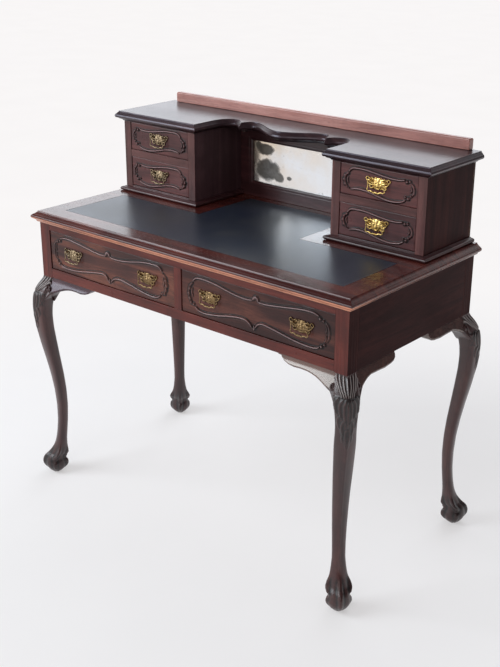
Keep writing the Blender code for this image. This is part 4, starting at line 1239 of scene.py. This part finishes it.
# Half width, then the points that an arm or a leaf follows on the right-hand side, and how far out
plateStrands = [
    {"wide": (2.7, 2.1), "out": 1.6, "points": [(11, 3), (17, 3.5), (22, 5.5), (25.5, 8.5)]},
    {"wide": (2.3, 1.3), "out": 1.4, "points": [(13, -1), (19, -2.0), (24.5, 0.5), (28, 4.5), (29.5, 7)]},
    {"wide": (2.2, 1.0), "out": 1.3, "points": [(11, -6), (16.5, -9.5), (21, -8.5), (22.4, -5), (20, -3.4)]},
    {"wide": (2.0, 0.9), "out": 1.4, "points": [(9, 9), (13, 12.5), (16, 13), (17, 16.4)]},
    {"wide": (1.9, 0.8), "out": 1.4, "points": [(16, 7), (20, 10), (22, 10.5), (23, 14)]},
    {"wide": (2.0, 0.9), "out": 1.5, "points": [(3, 12), (5, 15), (8, 14.5), (8.5, 16.6)]},
]
bailLook = {
    "points": [(18.6, 0), (21.5, 0), (23.2, -1.2), (23.0, -8), (22.2, -15), (23.8, -21.5), (20.5, -25.4),
               (15, -24.6), (10, -26.2), (5.5, -28.0), (2.5, -26.8), (0, -27.4)],
    "wide": [1.15, 1.9, 1.6, 1.25, 1.2, 1.7, 1.5, 1.35, 1.9, 1.6, 2.2, 2.0],
}


def plateShell():
    look = handleLook
    wide, tall = look["shellHalf"]
    faceEnd, backFrom = look["shellEdge"]

    def petals(x, z):            # 1 in the middle of each petal of the fan
        fan = np.arctan2(x, z - look["fanFoot"])
        return fan, np.abs(np.cos(fan / look["fanHalf"] * look["petals"] * pi / 4))

    def where(u, v):
        x, z = np.sin(2 * pi * u), np.cos(2 * pi * u)
        notch, spread = look["sideNotch"]
        waist = 1 - look["waist"] * np.clip(-z, 0, 1) ** 1.5 - notch * hump(np.abs(x), 1, spread)
        petal = petals(x * wide, z * tall)[1] * np.clip(z + 0.75, 0, 1)
        reach = waist * (0.90 + look["petalReach"] * petal)
        share = np.clip(v / faceEnd, 0, 1)
        sx, sz = x * wide * reach * share, z * tall * reach * share
        fan, petal = petals(sx, sz)
        rise = look["rim"] + look["dome"] * (1 - share ** look["domeFlatness"])
        rise = rise + look["petalRise"] * (petal - 0.5) * np.sin(pi * share) ** 0.6
        away = np.hypot(sx, sz + look["bossDown"])
        boss, radius = look["boss"]
        groove, grooveAt, grooveWide = look["groove"]
        bead, beadAt, beadWide = look["beads"]
        rise = rise + boss * np.sqrt(np.clip(1 - (away / radius) ** 2, 0, 1))
        rise = rise - groove * hump(away, grooveAt, grooveWide)
        rise = rise + bead * hump(away, beadAt, beadWide) * (np.cos(fan * look["beadCount"]) > -0.2)
        rise = np.where(v > backFrom, 0.0, np.maximum(rise, look["thinnest"]))
        return sx / 1000, -rise / 1000, (sz + look["shellMiddle"]) / 1000

    return closedGrid("plateShell", *look["shellGrid"], where)


def platePattern():
    look = handleLook
    pieces = [plateShell()]
    ring = np.linspace(0, 2 * pi, look["earPoints"])
    (earX, earZ), radius, (earWide, swell) = look["earMiddle"], look["earRadius"], look["earWide"]
    out = -np.array(look["postOut"])
    for side in (-1, 1):
        for limb in plateStrands:
            line = smoothLine([(side * x, z) for x, z in limb["points"]], 5)
            line = np.column_stack([line[:, 0], np.full(len(line), -limb["out"]), line[:, 1]])
            pieces.append(strand("limb", line, evenRadii(limb["wide"], len(line)), look["around"], 0.85))
        ear = np.column_stack([side * earX + radius * np.sin(ring), np.full(len(ring), -look["earOut"]),
                               earZ + radius * np.cos(ring)])
        pieces.append(strand("ear", ear, earWide + swell * np.cos(ring * 4), look["around"]))
        post = np.column_stack([np.full(len(out), side * look["postSpread"]), out,
                                np.full(len(out), look["pivotRise"])])
        pieces.append(strand("post", post, look["postRadius"], 14))
    return joined(pieces, "platePattern")


def bailPattern():
    look = bailLook
    half = smoothLine(look["points"], 4)
    radii = evenRadii(look["wide"], len(half))
    line = np.vstack([half, [(-x, z) for x, z in half[::-1][1:]]])
    radii = np.concatenate([radii, radii[::-1][1:]])
    line = np.column_stack([line[:, 0], np.full(len(line), -handleLook["pivotReach"]),
                            line[:, 1] + handleLook["pivotRise"]])
    return strand("bailPattern", line, radii, 12)


brassOf = [("block_right", "brightBrass"), ("block_left", "greyedBrass"), ("frieze_left_left", "greyedBrass"),
           ("", "dullBrass")]


def setHandles():
    plate, bail = platePattern(), bailPattern()
    for node in nodesFrom("handle_plate_"):
        handle = node.replace("handle_plate_", "")
        low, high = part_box(node)
        matrix = Matrix.Translation(((low[0] + high[0]) / 2, high[1], (low[2] + high[2]) / 2))
        brass = firstFor(handle, brassOf)
        drawer = "drawer_" + (handle if "block" in handle else handle.rsplit("_", 1)[0])
        finishPiece(copyOf(plate, "castPlate_" + handle, matrix), brass, drawer, [node], sharp=60)
        finishPiece(copyOf(bail, "castBail_" + handle, matrix), brass, "bail_body_" + handle,
                    ["bail_" + handle], sharp=60)
    discard(plate, bail)


setHandles()
print("handles set")


# Plain wooden pieces: a copy of each node with its arrises eased and painted a little lighter, as rubbing and
# a painted highlight
easedPieces = {
    # start of the name: finish, how far the arris is eased
    "desk_top": ("topWood", 0.0009),
    "rail_": ("railWood", 0.0006),
    "stile_": ("uprightWood", 0.0006),
    "side_panel": ("sideWood", 0.0006),
    "block_side_left_inner": ("innerSideWood", 0.0007),
    "block_side_left_outer": ("blockSideWood", 0.0007),
    "block_side_right": ("blockSideWood", 0.0007),
    "block_divider": ("blockRailWood", 0.0005),
    "block_base": ("frameWood", 0.0009),
    "shelf": ("shelfWood", 0.0010),
    "gallery": ("galleryWood", 0.0014),
    "mirror_frame": ("frameWood", 0.0007),
}
easing = {
    "from": 38,              # degrees between faces, from which their arris is eased
    "smoothTo": 32,
    "segments": 2,
    "recessArris": 0.002,    # how far the arris round the leather reaches
}
# The materials of each copy, in order
easedSlots = {"own": 0, "arris": 1, "frontEdge": 2, "dull": 3}


def easedCopy(node, finish, ease):
    piece = copyOf(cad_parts[node], "eased_" + node, Matrix())
    inEditMode(piece, mergeDoubles, lambda: bpy.ops.mesh.dissolve_limited(angle_limit=radians(1)))
    bevel = piece.modifiers.new("easedArris", "BEVEL")
    bevel.width = ease
    bevel.segments = easing["segments"]
    bevel.limit_method = "ANGLE"
    bevel.angle_limit = radians(easing["from"])
    bevel.use_clamp_overlap = True
    bevel.material = easedSlots["arris"]
    bpy.ops.object.modifier_apply(modifier=bevel.name)
    finishPiece(piece, [finish, "rubbedArris", "blockUprightWood", "sideWood"], "desk", [node],
                sharp=easing["smoothTo"])
    flat = piece.modifiers.new("flatFaces", "WEIGHTED_NORMAL")       # broad faces stay flat by their arrises
    flat.keep_sharp = True
    bpy.ops.object.modifier_apply(modifier=flat.name)
    if node.startswith("block_side"):        # the front edge takes the upright's finish, the rest keeps the darker side copy, painted shade
        for face in piece.data.polygons:
            if face.normal.y < -0.7:
                face.material_index = easedSlots["frontEdge"]
    if node == "desk_top":       # the arris round the leather takes the darker, duller side copy, painted shade: it would mirror the room at a glance
        low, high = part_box("leather_inset")
        near = easing["recessArris"]
        for face in piece.data.polygons:
            x, y, z = face.center
            inside = abs(x) < high[0] + near and low[1] - near < y < high[1] + near
            if inside and face.normal.z < 0.999:
                face.material_index = easedSlots["dull"]


for start, (finish, ease) in easedPieces.items():
    for node in nodesFrom(start):
        easedCopy(node, finish, ease)
print("wooden pieces eased")
